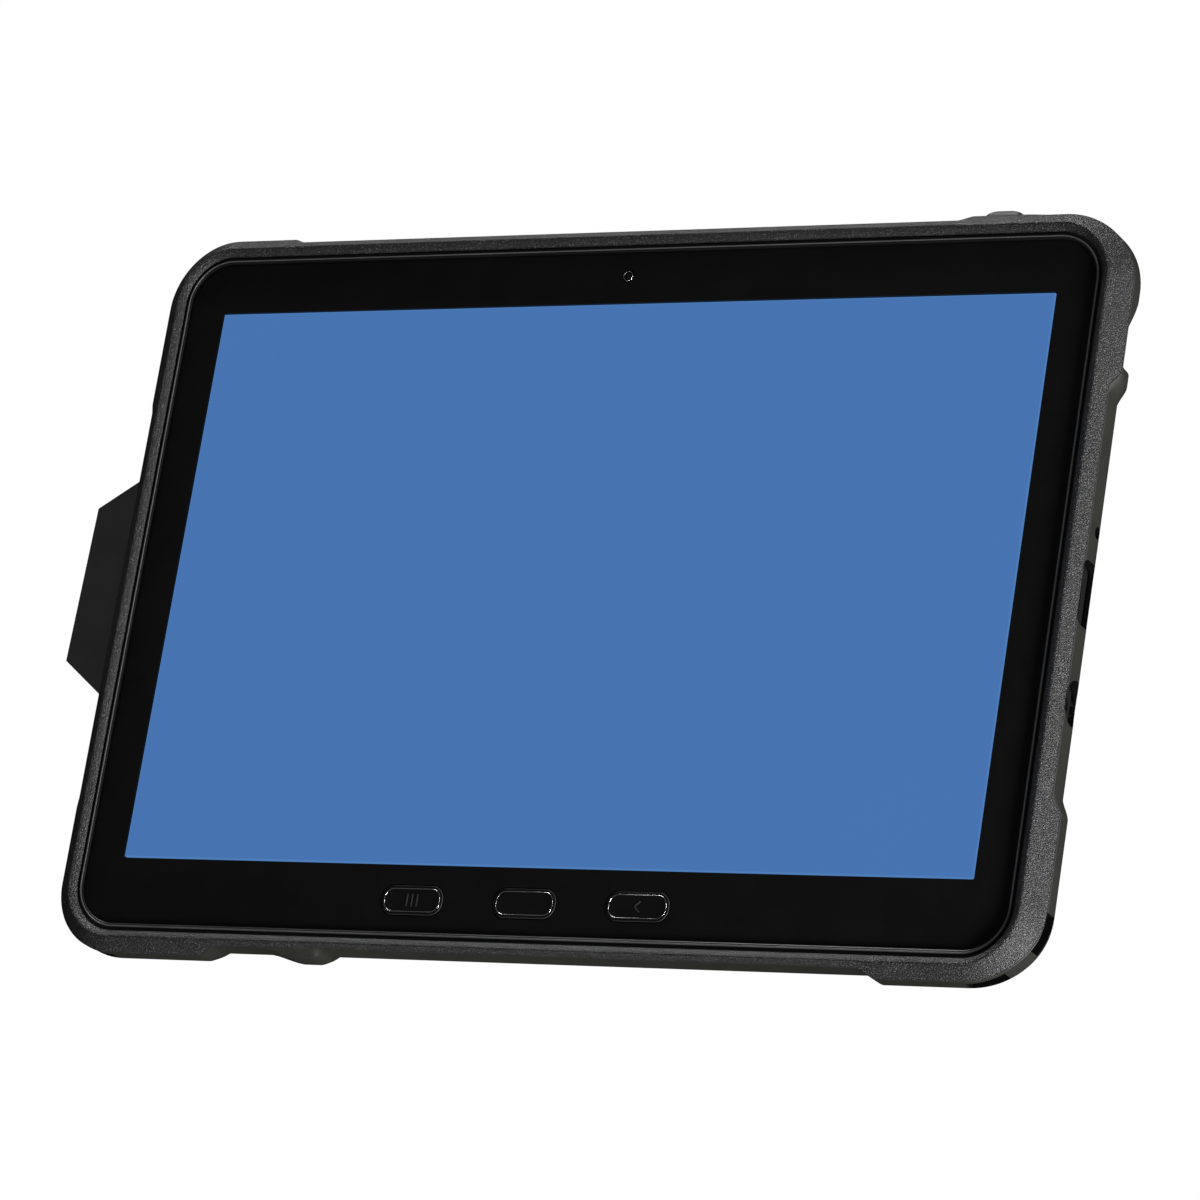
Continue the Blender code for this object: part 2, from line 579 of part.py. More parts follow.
def make_glass(tablet, look):
    rings = [level(GLASS_X, GLASS_Y, -GLASS_THICK), level(GLASS_X, GLASS_Y, 0.0)]
    glass = place("cover_glass", loft(rings, closed=False), look, tablet)
    low, high = -2 * MM, 1 * MM
    middle = -CASE_Y
    window = [(x, y + middle) for x, y in rounded((0.0, 0.0), SCREEN_X + GAP, SCREEN_Y + GAP, 0.5 * MM, 2)]
    join(glass, cutter("window_cut", prism(window, low, high), tablet))
    for name, x in KEY_X.items():
        shape = rounded((x, KEY_Y), KEY_LONG / 2 + GAP, KEY_WIDE / 2 + GAP, KEY_ROUND + GAP)
        join(glass, cutter(f"{name}_cut", prism(shape, low, high), tablet))
    camera_hole = oval(FRONT_CAMERA, 1.6 * MM, 1.6 * MM, 16)
    join(glass, cutter("front_camera_cut", prism(camera_hole, low, high), tablet))


def make_display(tablet, look):
    shape = rounded((0.0, 0.0), SCREEN_X, SCREEN_Y, 0.3 * MM, 2)
    place("display_panel", prism(shape, -DISPLAY_THICK, 0.0), look, tablet, (0.0, -CASE_Y, 0.0))


def make_front_keys(tablet, look):
    """Keys that stand just proud of the glass, with a chamfer round the top."""
    layers = ((-1.5 * MM, 0.0), (0.05 * MM, 0.0), (0.25 * MM, 0.35 * MM))
    for name, x in KEY_X.items():
        rings = [[(a, b, up) for a, b in rounded((0.0, 0.0), KEY_LONG / 2 - inset, KEY_WIDE / 2 - inset,
                                                 KEY_ROUND - inset)] for up, inset in layers]
        place(name, loft(rings, closed=False), look, tablet, (x, KEY_Y, 0.0))


def make_side_keys(tablet, look):
    """The tablet's own keys behind the case's button caps: a stem through the frame and a foot."""
    for name, (middle, half, _, _) in BUTTONS.items():
        stem = rounded((0.0, 0.0), half - 1.0 * MM, SIDE_KEY_RISE, 0.9 * MM)
        foot_half, foot_rise = half - 0.3 * MM, SIDE_KEY_RISE + 0.6 * MM
        foot = rounded((0.0, 0.0), foot_half, foot_rise, 0.9 * MM)
        layers = [(foot, 80.4), (foot, 82.0), (stem, 82.0), (stem, KEY_OUTER_Y / MM)]
        rings = [[(a, at * MM - KEY_OUTER_Y, b) for a, b in shape] for shape, at in layers]
        place(f"{name}_key", loft(rings, closed=False), look, tablet, (middle, KEY_OUTER_Y, SIDE_KEY_Z))


def make_back_cover(tablet, look):
    rings = [level(COVER_X, COVER_Y, COVER_SEAT - GAP), level(COVER_X, COVER_Y, -TABLET_THICK)]
    cover = place("tablet_back_cover", loft(rings, closed=False), look, tablet)
    for name, at, radius in (("rear_camera_cut", REAR_CAMERA, 4.0), ("flash_cut", FLASH, 2.0)):
        join(cover, cutter(name, prism(oval(at, radius * MM, radius * MM, 20), -12 * MM, -7 * MM), tablet))


def make_inside(tablet, looks):
    """Battery, board, cameras and sockets."""
    cell = block((-100 * MM, -55 * MM, -8.2 * MM), (0, 50 * MM, -3.2 * MM))
    place("battery", cell, looks["battery"], tablet)
    board = place("main_board", block((8 * MM, -62 * MM, -4.2 * MM), (106 * MM, 55 * MM, -3.0 * MM)),
                  looks["board"], tablet)
    for i, (x, y, half) in enumerate(((40, 20, 9), (66, 12, 7), (50, -25, 8), (85, -40, 6)), start=1):
        low = ((x - half) * MM, (y - half) * MM, -5.6 * MM)
        chip = block(low, ((x + half) * MM, (y + half) * MM, -4.0 * MM))
        join(board, cutter(f"chip_{i}", chip, tablet), "UNION")
    socket = place("usb_socket", prism(rounded((0.0, 0.0), 4.5 * MM, 1.6 * MM, 1.3 * MM), -7 * MM, 0.0, "x"),
                   looks["steel"], tablet, (121.4 * MM, USB_Y, SOCKET_Z))
    mouth = prism(rounded((0.0, 0.0), 4.1 * MM, 1.2 * MM, 1.0 * MM), -5.5 * MM, 1 * MM, "x")
    join(socket, cutter("socket_mouth", mouth, tablet, (121.4 * MM, USB_Y, SOCKET_Z)))
    jack = place("audio_jack", prism(oval((0.0, 0.0), 2.4 * MM, 2.4 * MM, 20), -14 * MM, 0.0, "x"),
                 looks["key"], tablet, (121.4 * MM, AUDIO_Y, AUDIO_Z))
    bore = prism(oval((0.0, 0.0), 1.75 * MM, 1.75 * MM, 16), -12 * MM, 1 * MM, "x")
    join(jack, cutter("jack_bore", bore, tablet, (121.4 * MM, AUDIO_Y, AUDIO_Z)))
    lens = prism(oval((0.0, 0.0), 1.3 * MM, 1.3 * MM, 16), -1.5 * MM, 0.0)
    place("front_camera", lens, looks["lens"], tablet, (*FRONT_CAMERA, 0.0))
    module = [(0.0, 0.0), (3.7 * MM, 0.0), (3.7 * MM, 0.6 * MM), (3.4 * MM, 1.0 * MM), (3.4 * MM, 6.0 * MM),
              (0.0, 6.0 * MM)]
    place("rear_camera", lathe(module, 20), looks["lens"], tablet, (*REAR_CAMERA, -TABLET_THICK))
    flash = prism(oval((0.0, 0.0), 1.7 * MM, 1.7 * MM, 16), 0.0, 2.5 * MM)
    place("flash_lens", flash, looks["flash"], tablet, (*FLASH, -TABLET_THICK))


# ---------------------------------------------------------------- the whole object

def make_looks():
    return {
        "bumper": material("bumper_rubber", (0.055, 0.055, 0.055), 0.75),
        "gasket": material("gasket_rubber", (0.03, 0.03, 0.03), 0.5),
        "shell": material("shell_plastic", (0.045, 0.045, 0.038), 0.6),
        "cap": material("cap_rubber", (0.05, 0.05, 0.045), 0.6),
        "hub": material("hub_plastic", (0.03, 0.03, 0.03), 0.55),
        "steel": material("steel", (0.55, 0.55, 0.56), 0.3, 1.0),
        "strap": material("strap_fabric", (0.03, 0.03, 0.03), 0.9),
        "pad": material("pad_fabric", (0.05, 0.05, 0.05), 0.95),
        "tablet": material("tablet_plastic", (0.02, 0.02, 0.02), 0.5),
        "glass": material("border_glass", (0.004, 0.004, 0.004), 0.1),
        "screen": material("screen", (0.065, 0.18, 0.44), 0.15),
        "key": material("key_plastic", (0.01, 0.01, 0.01), 0.3),
        "lens": material("lens", (0.01, 0.01, 0.015), 0.05),
        "flash": material("flash_plastic", (0.8, 0.78, 0.65), 0.3),
        "battery": material("battery_wrap", (0.12, 0.12, 0.13), 0.5),
        "board": material("board", (0.02, 0.12, 0.05), 0.5),
    }


def main():
    clear_scene()
    looks = make_looks()
    case = empty("case_frame", (0.0, CASE_Y, GLASS_Z))
    lifted = empty("bumper_frame", (0.0, CASE_Y, GLASS_Z))
    tablet = empty("tablet_frame_of_reference", (0.0, CASE_Y, GLASS_Z))
    base = empty("base_frame", (0.0, 0.0, GLASS_Z + SHELL_BACK))
    hub = empty("hub_frame", (0.0, 0.0, GLASS_Z + SHELL_BACK), turn=HUB_TURN)
    hinge = empty("leg_frame", (PIN_X, 0.0, PIN_Z), parent=hub)

    shell = make_shell(case, looks["shell"])
    bumper = make_bumper(lifted, looks["bumper"])
    make_gasket(lifted, looks["gasket"])
    shared = port_cutters(case) + button_cutters(case)
    shared += [slot_cutter("slot_right", 1, case), slot_cutter("slot_left", -1, case)]
    for tool in shared:
        join(shell, tool)
        join(bumper, tool)
    camera_window = rounded((FLASH[0] / 2, REAR_CAMERA[1]), 13 * MM, 7.5 * MM, 4 * MM)
    join(shell, cutter("camera_window", prism(camera_window, -14 * MM, -9 * MM), case))
    for i, (x, y) in enumerate(screw_places(), start=1):
        hole = prism(oval((0.0, 0.0), SCREW_R + GAP, SCREW_R + GAP, 12), -1 * MM, 3 * MM)
        join(shell, cutter(f"shell_hole_{i}", hole, base, (x, y, 0.0)))
    for name in BUTTONS:
        make_cap(name, case, looks["cap"])

    make_base(base, looks["hub"])
    make_screws(base, looks["steel"])
    make_washer(base, looks["steel"])
    make_turntable(hub, looks["hub"])
    make_bars(hub, looks["steel"])
    make_strap(hub, looks["strap"])
    make_pad(hub, looks["pad"])
    make_pin(hub, looks["steel"])
    make_leg(hinge, looks["shell"])

    make_tablet_frame(tablet, looks["tablet"])
    make_back_cover(tablet, looks["tablet"])
    make_glass(tablet, looks["glass"])
    make_display(tablet, looks["screen"])
    make_front_keys(tablet, looks["key"])
    make_side_keys(tablet, looks["key"])
    make_inside(tablet, looks)


main()
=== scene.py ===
"""The looks of the rugged tablet case: meshes, materials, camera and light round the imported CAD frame."""

import json
import math

import bmesh
import bpy
from mathutils import Matrix, Vector


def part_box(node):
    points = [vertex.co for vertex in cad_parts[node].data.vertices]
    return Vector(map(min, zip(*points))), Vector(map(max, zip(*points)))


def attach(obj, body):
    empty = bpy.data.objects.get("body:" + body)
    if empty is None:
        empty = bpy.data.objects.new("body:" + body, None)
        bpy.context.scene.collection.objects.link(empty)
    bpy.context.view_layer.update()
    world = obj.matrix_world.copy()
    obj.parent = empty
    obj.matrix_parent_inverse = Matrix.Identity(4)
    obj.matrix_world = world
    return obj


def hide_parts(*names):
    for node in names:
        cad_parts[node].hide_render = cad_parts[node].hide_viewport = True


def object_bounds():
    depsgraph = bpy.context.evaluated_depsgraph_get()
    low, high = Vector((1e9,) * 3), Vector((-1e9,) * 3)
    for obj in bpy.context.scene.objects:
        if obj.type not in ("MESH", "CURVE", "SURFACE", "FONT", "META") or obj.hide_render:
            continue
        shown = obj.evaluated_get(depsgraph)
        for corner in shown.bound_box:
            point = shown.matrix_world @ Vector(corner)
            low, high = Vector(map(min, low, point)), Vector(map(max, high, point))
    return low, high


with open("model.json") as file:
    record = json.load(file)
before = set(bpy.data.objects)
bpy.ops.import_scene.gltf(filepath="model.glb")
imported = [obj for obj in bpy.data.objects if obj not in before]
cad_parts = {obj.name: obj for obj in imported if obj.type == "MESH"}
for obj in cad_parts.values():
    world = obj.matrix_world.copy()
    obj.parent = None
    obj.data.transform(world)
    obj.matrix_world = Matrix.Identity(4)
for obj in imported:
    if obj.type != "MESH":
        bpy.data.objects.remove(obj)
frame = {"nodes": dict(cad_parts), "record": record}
cad_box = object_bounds()

MM = 0.001
TAU = math.tau

# Frames of reference, read from the CAD nodes
CASE_Y = -1.8 * MM
GLASS_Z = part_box("cover_glass")[1].z
SCREEN_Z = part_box("display_panel")[1].z
BACK_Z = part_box("rear_shell")[0].z
CASE = Matrix.Translation((0.0, CASE_Y, GLASS_Z))
BASE = Matrix.Translation((0.0, 0.0, BACK_Z))
HUB_TURN = math.radians(-1.5)
HUB = BASE @ Matrix.Rotation(HUB_TURN, 4, "Z")
SCREW_CIRCLE = 18
SCREW_TURNS = [TAU * (i + 0.5) / 6 for i in range(6)]
SCREWS = [(SCREW_CIRCLE * math.cos(turn), SCREW_CIRCLE * math.sin(turn)) for turn in SCREW_TURNS]

# The case's outline: corner arcs, guard level, recesses and where they step, as in the CAD
ARC_X, ARC_Y = 108.5 * MM, 72.5 * MM
ARC_STEPS = 24
TAPER_STEPS = 6
GUARD_X, GUARD_Y = 126.2 * MM, 89.1 * MM
RECESS = {"right": 1.8 * MM, "top": 1.15 * MM, "left": 1.0 * MM, "bottom": 2.0 * MM}
BUMPER_STEPS = {
    "right": [(-50.5, 1), (-47.8, 0), (47.8, 0), (51.6, 1)],
    "top": [(-93, 1), (-90, 0), (82.2, 0), (85.3, 1.3), (99, 1.3), (104, 1)],
    "left": [(-54, 1), (-51, 0.4), (0, 0.4), (20, 0), (45, 0), (48, 1)],
    "bottom": [(-84.5, 1), (-80, 0), (84, 0), (88, 1)],
}
SHELL_STEPS = {
    "right": [(-50.5, 1), (-46, 0), (46.3, 0), (50.3, 1), (52.5, 1), (55, -0.35), (62, -0.35), (70.4, 1)],
    "top": BUMPER_STEPS["top"],
    "left": BUMPER_STEPS["left"],
    "bottom": [(-84.5, 1), (-80, 0), (-67.8, 0), (-58.8, 1), (-54.4, 1), (-50.7, 0), (84, 0), (88, 1)],
}
CREST_X, CREST_Y, CREST_Z = 121.6 * MM, 86.0 * MM, 2.0 * MM
BEVEL_SLOPE = 0.915
EDGE = 0.4 * MM
CAVITY_X, CAVITY_Y = 122.1 * MM, 85.45 * MM
TONGUE = 0.8 * MM
TONGUE_DEPTH = 3.6 * MM
GAP = 0.3 * MM


# ---------------------------------------------------------------- mesh tools

def loft(rings, closed):
    """Skins rings of equal length. Closed joins the last ring to the first, open caps both ends."""
    mesh = bmesh.new()
    rows = [[mesh.verts.new(point) for point in ring] for ring in rings]
    pairs = list(zip(rows, rows[1:]))
    if closed:
        pairs.append((rows[-1], rows[0]))
    else:
        mesh.faces.new(rows[0])
        mesh.faces.new(rows[-1][::-1])
    for low, high in pairs:
        for i in range(len(low)):
            j = (i + 1) % len(low)
            mesh.faces.new((low[i], high[i], high[j], low[j]))
    return mesh


def prism(outline, low, high, axis="z"):
    """An outline pushed along one axis from low to high."""
    order = {"x": lambda a, b, c: (c, a, b), "y": lambda a, b, c: (a, c, b), "z": lambda a, b, c: (a, b, c)}
    put = order[axis]
    return loft([[put(a, b, c) for a, b in outline] for c in (low, high)], closed=False)


def oval(center, half_a, half_b, steps=48):
    """An ellipse's points."""
    turns = (TAU * i / steps for i in range(steps))
    return [(center[0] + half_a * math.cos(t), center[1] + half_b * math.sin(t)) for t in turns]


def rounded(center, half_a, half_b, radius, steps=10):
    """A rectangle's points, with round corners."""
    points = []
    for quarter, (a, b) in enumerate(((1, 1), (-1, 1), (-1, -1), (1, -1))):
        middle = (center[0] + a * (half_a - radius), center[1] + b * (half_b - radius))
        for i in range(steps + 1):
            turn = math.radians(90 * (quarter + i / steps))
            points.append((middle[0] + radius * math.cos(turn), middle[1] + radius * math.sin(turn)))
    return points


def lathe(profile, steps=64):
    """A turned ring or disc about Z. A profile that starts and ends on the axis makes a disc."""
    turns = [TAU * i / steps for i in range(steps)]
    rings = [[(radius * math.cos(t), radius * math.sin(t), height) for t in turns]
             for radius, height in profile if radius > 0.0]
    return loft(rings, closed=profile[0][0] > 0.0)


def turned(profile, steps=64):
    """A lathe from a profile in millimetres."""
    return lathe([(radius * MM, height * MM) for radius, height in profile], steps)


def plug(shape, layers):
    """A plug along Z: shape(inset) gives its outline, layers are (height, inset) from end to end."""
    return loft([[(x, y, height) for x, y in shape(inset)] for height, inset in layers], closed=False)


def box_mesh(low, high):
    """A small bar between two corners."""
    rings = []
    for z in (low[2], high[2]):
        rings.append([(low[0], low[1], z), (high[0], low[1], z), (high[0], high[1], z), (low[0], high[1], z)])
    return loft(rings, closed=False)


def merged(meshes):
    """Several bmeshes in one."""
    whole = bmesh.new()
    for mesh in meshes:
        part = bpy.data.meshes.new("part")
        mesh.to_mesh(part)
        mesh.free()
        whole.from_mesh(part)
        bpy.data.meshes.remove(part)
    return whole


def at(x, y, z):
    """A place in millimetres."""
    return Matrix.Translation((x * MM, y * MM, z * MM))


def add(name, mesh, place=CASE, sharp=40, body=None, look=None, replaces=()):
    """A finished piece from a bmesh in its own frame of reference."""
    bmesh.ops.recalc_face_normals(mesh, faces=mesh.faces)
    mesh.transform(place)
    data = bpy.data.meshes.new(name)
    mesh.to_mesh(data)
    mesh.free()
    data.shade_smooth()
    data.set_sharp_from_angle(angle=math.radians(sharp))
    made = bpy.data.objects.new(name, data)
    bpy.context.scene.collection.objects.link(made)
    if look:
        data.materials.append(look)
    if body:
        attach(made, body)
    if replaces:
        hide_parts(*replaces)
    return made


def carve(target, tools, operation="DIFFERENCE"):
    """Applies Booleans to a piece, then removes the tools."""
    for tool in tools:
        step = target.modifiers.new("carve", "BOOLEAN")
        step.operation = operation
        step.solver = "EXACT"
        step.object = tool
    bpy.context.view_layer.update()
    done = bpy.data.meshes.new_from_object(target.evaluated_get(bpy.context.evaluated_depsgraph_get()))
    target.modifiers.clear()
    target.data = done
    for tool in tools:
        bpy.data.objects.remove(tool)
    done.shade_smooth()
    done.set_sharp_from_angle(angle=math.radians(40))
    return target


def soften(piece, width, segments=3, angle=35):
    """Rounds a piece's sharp edges off."""
    step = piece.modifiers.new("soften", "BEVEL")
    step.width = width
    step.segments = segments
    step.limit_method = "ANGLE"
    step.angle_limit = math.radians(angle)
    step.harden_normals = True
    step.miter_outer = "MITER_ARC"
    return piece


# ---------------------------------------------------------------- materials

def surface(name, color, roughness, metallic=0.0, specular=0.5, grain=None, mottle=None, coat=0.0):
    """A moulded or machined surface.

    grain is (size in metres, bump strength, lightness of its specks).
    mottle is (size, how much the colour varies).
    """
    made = bpy.data.materials.new(name)
    made.use_nodes = True
    nodes, links = made.node_tree.nodes, made.node_tree.links
    shader = nodes["Principled BSDF"]
    shader.inputs["Metallic"].default_value = metallic
    shader.inputs["Specular IOR Level"].default_value = specular
    shader.inputs["Coat Weight"].default_value = coat
    where = nodes.new("ShaderNodeTexCoord")

    def noise(size, detail=2.0):
        made_noise = nodes.new("ShaderNodeTexNoise")
        made_noise.inputs["Scale"].default_value = 1.0 / size
        made_noise.inputs["Detail"].default_value = detail
        links.new(where.outputs["Object"], made_noise.inputs["Vector"])
        return made_noise.outputs["Fac"]

    def ramp(source, low, high, dark, light):
        made_ramp = nodes.new("ShaderNodeValToRGB")
        made_ramp.color_ramp.elements[0].position = low
        made_ramp.color_ramp.elements[1].position = high
        made_ramp.color_ramp.elements[0].color = (*dark, 1.0)
        made_ramp.color_ramp.elements[1].color = (*light, 1.0)
        links.new(source, made_ramp.inputs["Fac"])
        return made_ramp.outputs["Color"]

    size, vary = mottle or (9 * MM, 0.08)
    tone = ramp(noise(size), 0.35, 0.65, [c * (1 - vary) for c in color], [c * (1 + vary) for c in color])
    if grain:
        grain_size, strength, speck = grain
        pebbles = noise(grain_size, 1.0)
        mix = nodes.new("ShaderNodeMix")
        mix.data_type = "RGBA"
        mix.blend_type = "ADD"
        mix.inputs["Factor"].default_value = 1.0
        links.new(tone, mix.inputs["A"])
        links.new(ramp(pebbles, 0.60, 0.70, (0, 0, 0), (speck, speck, speck)), mix.inputs["B"])
        tone = mix.outputs["Result"]
        bump = nodes.new("ShaderNodeBump")
        bump.inputs["Strength"].default_value = strength
        bump.inputs["Distance"].default_value = grain_size * 0.8
        links.new(pebbles, bump.inputs["Height"])
        links.new(bump.outputs["Normal"], shader.inputs["Normal"])
    links.new(tone, shader.inputs["Base Color"])
    spread = nodes.new("ShaderNodeMapRange")
    spread.inputs["To Min"].default_value = max(0.0, roughness - 0.06)
    spread.inputs["To Max"].default_value = min(1.0, roughness + 0.06)
    links.new(noise(size * 0.6), spread.inputs["Value"])
    links.new(spread.outputs["Result"], shader.inputs["Roughness"])
    return made


def glowing(name, color):
    """The lit screen: its own light, with a faint unevenness of the backlight."""
    made = surface(name, (0.001, 0.001, 0.001), 0.12, specular=0.04)
    nodes, links = made.node_tree.nodes, made.node_tree.links
    shader = nodes["Principled BSDF"]
    where = nodes.new("ShaderNodeTexCoord")
    uneven = nodes.new("ShaderNodeTexNoise")
    uneven.inputs["Scale"].default_value = 1.0 / (60 * MM)
    links.new(where.outputs["Object"], uneven.inputs["Vector"])
    ramp = nodes.new("ShaderNodeValToRGB")
    ramp.color_ramp.elements[0].color = (*[c * 0.99 for c in color], 1.0)
    ramp.color_ramp.elements[1].color = (*[c * 1.01 for c in color], 1.0)
    links.new(uneven.outputs["Fac"], ramp.inputs["Fac"])
    links.new(ramp.outputs["Color"], shader.inputs["Emission Color"])
    shader.inputs["Emission Strength"].default_value = 1.0
    return made


def woven(name, color, size, roughness=0.85):
    """Woven fabric: crossing threads from two wave textures."""
    made = surface(name, color, roughness, specular=0.2)
    nodes, links = made.node_tree.nodes, made.node_tree.links
    shader = nodes["Principled BSDF"]
    shader.inputs["Sheen Weight"].default_value = 0.3
    where = nodes.new("ShaderNodeTexCoord")
    threads = []
    for axis in ("X", "Y"):
        wave = nodes.new("ShaderNodeTexWave")
        wave.bands_direction = axis
        wave.inputs["Scale"].default_value = 0.314 / size
        wave.inputs["Distortion"].default_value = 0.6
        links.new(where.outputs["Object"], wave.inputs["Vector"])
        threads.append(wave.outputs["Fac"])
    cross = nodes.new("ShaderNodeMath")
    cross.operation = "MAXIMUM"
    links.new(threads[0], cross.inputs[0])
    links.new(threads[1], cross.inputs[1])
    bump = nodes.new("ShaderNodeBump")
    bump.inputs["Strength"].default_value = 0.8
    bump.inputs["Distance"].default_value = size * 0.4
    links.new(cross.outputs["Value"], bump.inputs["Height"])
    links.new(bump.outputs["Normal"], shader.inputs["Normal"])
    return made


LOOKS = {
    "bumper": surface("bumper_grain", (0.017, 0.017, 0.017), 0.36, specular=0.6,
                      grain=(0.28 * MM, 1.0, 0.14)),
    "gasket": surface("gasket_satin", (0.007, 0.007, 0.007), 0.35, specular=0.4),
    "shell": surface("shell_olive", (0.026, 0.026, 0.022), 0.5, grain=(0.16 * MM, 0.12, 0.004)),
    "cap": surface("cap_smooth", (0.026, 0.026, 0.023), 0.5, grain=(0.16 * MM, 0.1, 0.004)),
    "hub": surface("hub_plastic_fine", (0.022, 0.022, 0.022), 0.5, grain=(0.25 * MM, 0.25, 0.006)),
    "leg": surface("leg_plastic_fine", (0.060, 0.060, 0.060), 0.42, grain=(0.2 * MM, 0.05, 0.001)),
    "steel": surface("steel_brushed", (0.5, 0.5, 0.51), 0.3, metallic=1.0, grain=(0.08 * MM, 0.15, 0.02)),
    "strap": woven("strap_webbing", (0.025, 0.025, 0.025), 0.9 * MM),
    "pad": woven("pad_mesh", (0.035, 0.035, 0.036), 1.3 * MM, 0.95),
    "tablet": surface("tablet_plastic_fine", (0.008, 0.008, 0.008), 0.5, grain=(0.2 * MM, 0.15, 0.004)),
    "glass": surface("border_glass_black", (0.0100, 0.0100, 0.0100), 0.08, specular=0.06),
    "key": surface("key_gloss", (0.0100, 0.0100, 0.0100), 0.10, specular=0.06),
    "lens": surface("lens_gloss", (0.003, 0.003, 0.005), 0.05, specular=0.3, coat=0.3),
    "flash": surface("flash_frosted", (0.75, 0.72, 0.6), 0.35),
    "battery": surface("battery_wrap_film", (0.10, 0.10, 0.11), 0.45),
    "board": surface("board_mask", (0.015, 0.09, 0.04), 0.4, grain=(0.3 * MM, 0.2, 0.01)),
    "screen": glowing("screen_lit", (0.0625, 0.1745, 0.4370)),
}
# Finishes inside one slot: printed signs, polished trim, thread, a painted highlight on the gasket's lip, a
# painted shade for the insides of slots and ports, lit edge, contacts
MARK = surface("key_sign_print", (0.055, 0.055, 0.055), 0.4, specular=0.2)
TRIM = surface("key_trim_polished", (0.55, 0.55, 0.55), 0.14, metallic=1.0)
THREAD = surface("strap_thread", (0.05, 0.05, 0.05), 0.7, grain=(0.2 * MM, 0.5, 0.02))
# Light grey lip colour: a painted highlight along the gasket bead's crest
LIP_PAINTED_HIGHLIGHT = surface("gasket_lip_painted_highlight", (0.12, 0.12, 0.12), 0.3, specular=0.6, grain=(0.3 * MM, 0.15, 0.02))
# Near-black painted shade, put on the insides of the slots and ports
PAINTED_SHADE = surface("slot_painted_shade_matt", (0.004, 0.004, 0.004), 0.7, specular=0.1)
RIM = glowing("screen_rim_lit", (0.078, 0.205, 0.48))
BRASS = surface("contact_plated", (0.65, 0.5, 0.25), 0.25, metallic=1.0, grain=(0.1 * MM, 0.1, 0.02))


# ---------------------------------------------------------------- the case's outline

def stations(side):
    """Places along one straight wall: each step's ends and the points of its smooth taper."""
    end = (ARC_Y if side in ("right", "left") else ARC_X) / MM
    places = {-end, end}
    for steps in (BUMPER_STEPS, SHELL_STEPS):
        knots = steps[side]
        for (start, low), (stop, high) in zip(knots, knots[1:]):
            count = TAPER_STEPS if low != high else 1
            places |= {round(start + (stop - start) * i / count, 4) for i in range(count + 1)}
    return sorted(places)


def step_in(steps, side, place):
    """How far the wall stands back at a place along it."""
    knots = steps[side]
    share = knots[0][1] if place < knots[0][0] else knots[-1][1]
    for (start, low), (end, high) in zip(knots, knots[1:]):
        if start <= place <= end:
            t = (place - start) / (end - start)
            share = low + (high - low) * (0.5 * t + 0.5 * t * t * (3 - 2 * t))
    return (1.0 - share) * RECESS[side]


def outline(half_x, half_y, steps=None):
    """The case's outline at one level, with its recesses where steps are given.

    Every level has as many points as the next, so levels can be lofted.
    """
    points = []

    def wall(side, normal, order):
        for place in stations(side)[::order]:
            inset = step_in(steps, side, place) if steps else 0.0
            if normal[0]:
                points.append((normal[0] * (half_x - inset), place * MM))
            else:
                points.append((place * MM, normal[1] * (half_y - inset)))

    def corner(sign_x, sign_y, first):
        for i in range(1, ARC_STEPS):
            turn = math.radians(first + 90.0 * i / ARC_STEPS)
            points.append((sign_x * ARC_X + (half_x - ARC_X) * math.cos(turn),
                           sign_y * ARC_Y + (half_y - ARC_Y) * math.sin(turn)))

    wall("right", (1, 0), 1)
    corner(1, 1, 0)
    wall("top", (0, 1), -1)
    corner(-1, 1, 90)
    wall("left", (-1, 0), -1)
    corner(-1, -1, 180)
    wall("bottom", (0, -1), 1)
    corner(1, -1, 270)
    return points


def level(half_x, half_y, height, steps=None):
    """A flat ring of the case's outline."""
    return [(x, y, height) for x, y in outline(half_x, half_y, steps)]


def bevel_ring(share, drop=0.0, lift=0.0):
    """A ring on the bumper's outer bevel, from the ridge (share 0) to its foot (share 1)."""
    ridge = outline(CREST_X, CREST_Y)
    foot = outline(GUARD_X, GUARD_Y, BUMPER_STEPS)
    ring = []
    for (a, b), (x, y) in zip(ridge, foot):
        run = math.hypot(x - a, y - b)
        height = CREST_Z - BEVEL_SLOPE * run * share - drop + lift
        ring.append((a + (x - a) * share, b + (y - b) * share, height))
    return ring


def at_parting(half_x, half_y, drop, steps=None):
    """A ring that follows the line between bumper and shell, which dips where the wall stands out."""
    heights = (z for _, _, z in bevel_ring(1.0, EDGE + drop))
    return [(x, y, z) for (x, y), z in zip(outline(half_x, half_y, steps), heights)]


# ---------------------------------------------------------------- openings, as in the CAD

USB_Y, AUDIO_Y, MICROPHONE_Y = 0.15, -24.7, 14.8
PORT_Z = -5.5
PORTS = [(USB_Y, 7.5), (AUDIO_Y, 5.25), (MICROPHONE_Y, 1.45)]
POWER_X, VOLUME_X, SHORTCUT_X = 92.0, 65.0, -75.0
CAMERA_Y = 68.8


def case_tools():
    """Cutting shapes that the shell and the bumper share, made anew for each."""
    usb = rounded((USB_Y * MM, -5.0 * MM), 7.45 * MM, 4.3 * MM, 2.2 * MM)
    audio = oval((AUDIO_Y * MM, PORT_Z * MM), 5.2 * MM, 4.8 * MM)
    microphone = oval((MICROPHONE_Y * MM, PORT_Z * MM), 1.4 * MM, 1.4 * MM, 24)
    tools = [add("cut", prism(shape, 118 * MM, 130 * MM, "x")) for shape in (usb, audio, microphone)]
    for middle, half, top in ((POWER_X, 5.5, -1.35), (VOLUME_X, 10.3, -1.5), (SHORTCUT_X, 6.8, -1.5)):
        rise = (top + 7.3) / 2
        window = rounded((middle * MM, (top - 7.3) / 2 * MM), half * MM, rise * MM, 1.5 * MM)
        tools.append(add("cut", prism(window, 83 * MM, 92 * MM, "y")))
    for side in (1, -1):
        tools.append(add("cut", slot_shape(side)))
    return tools


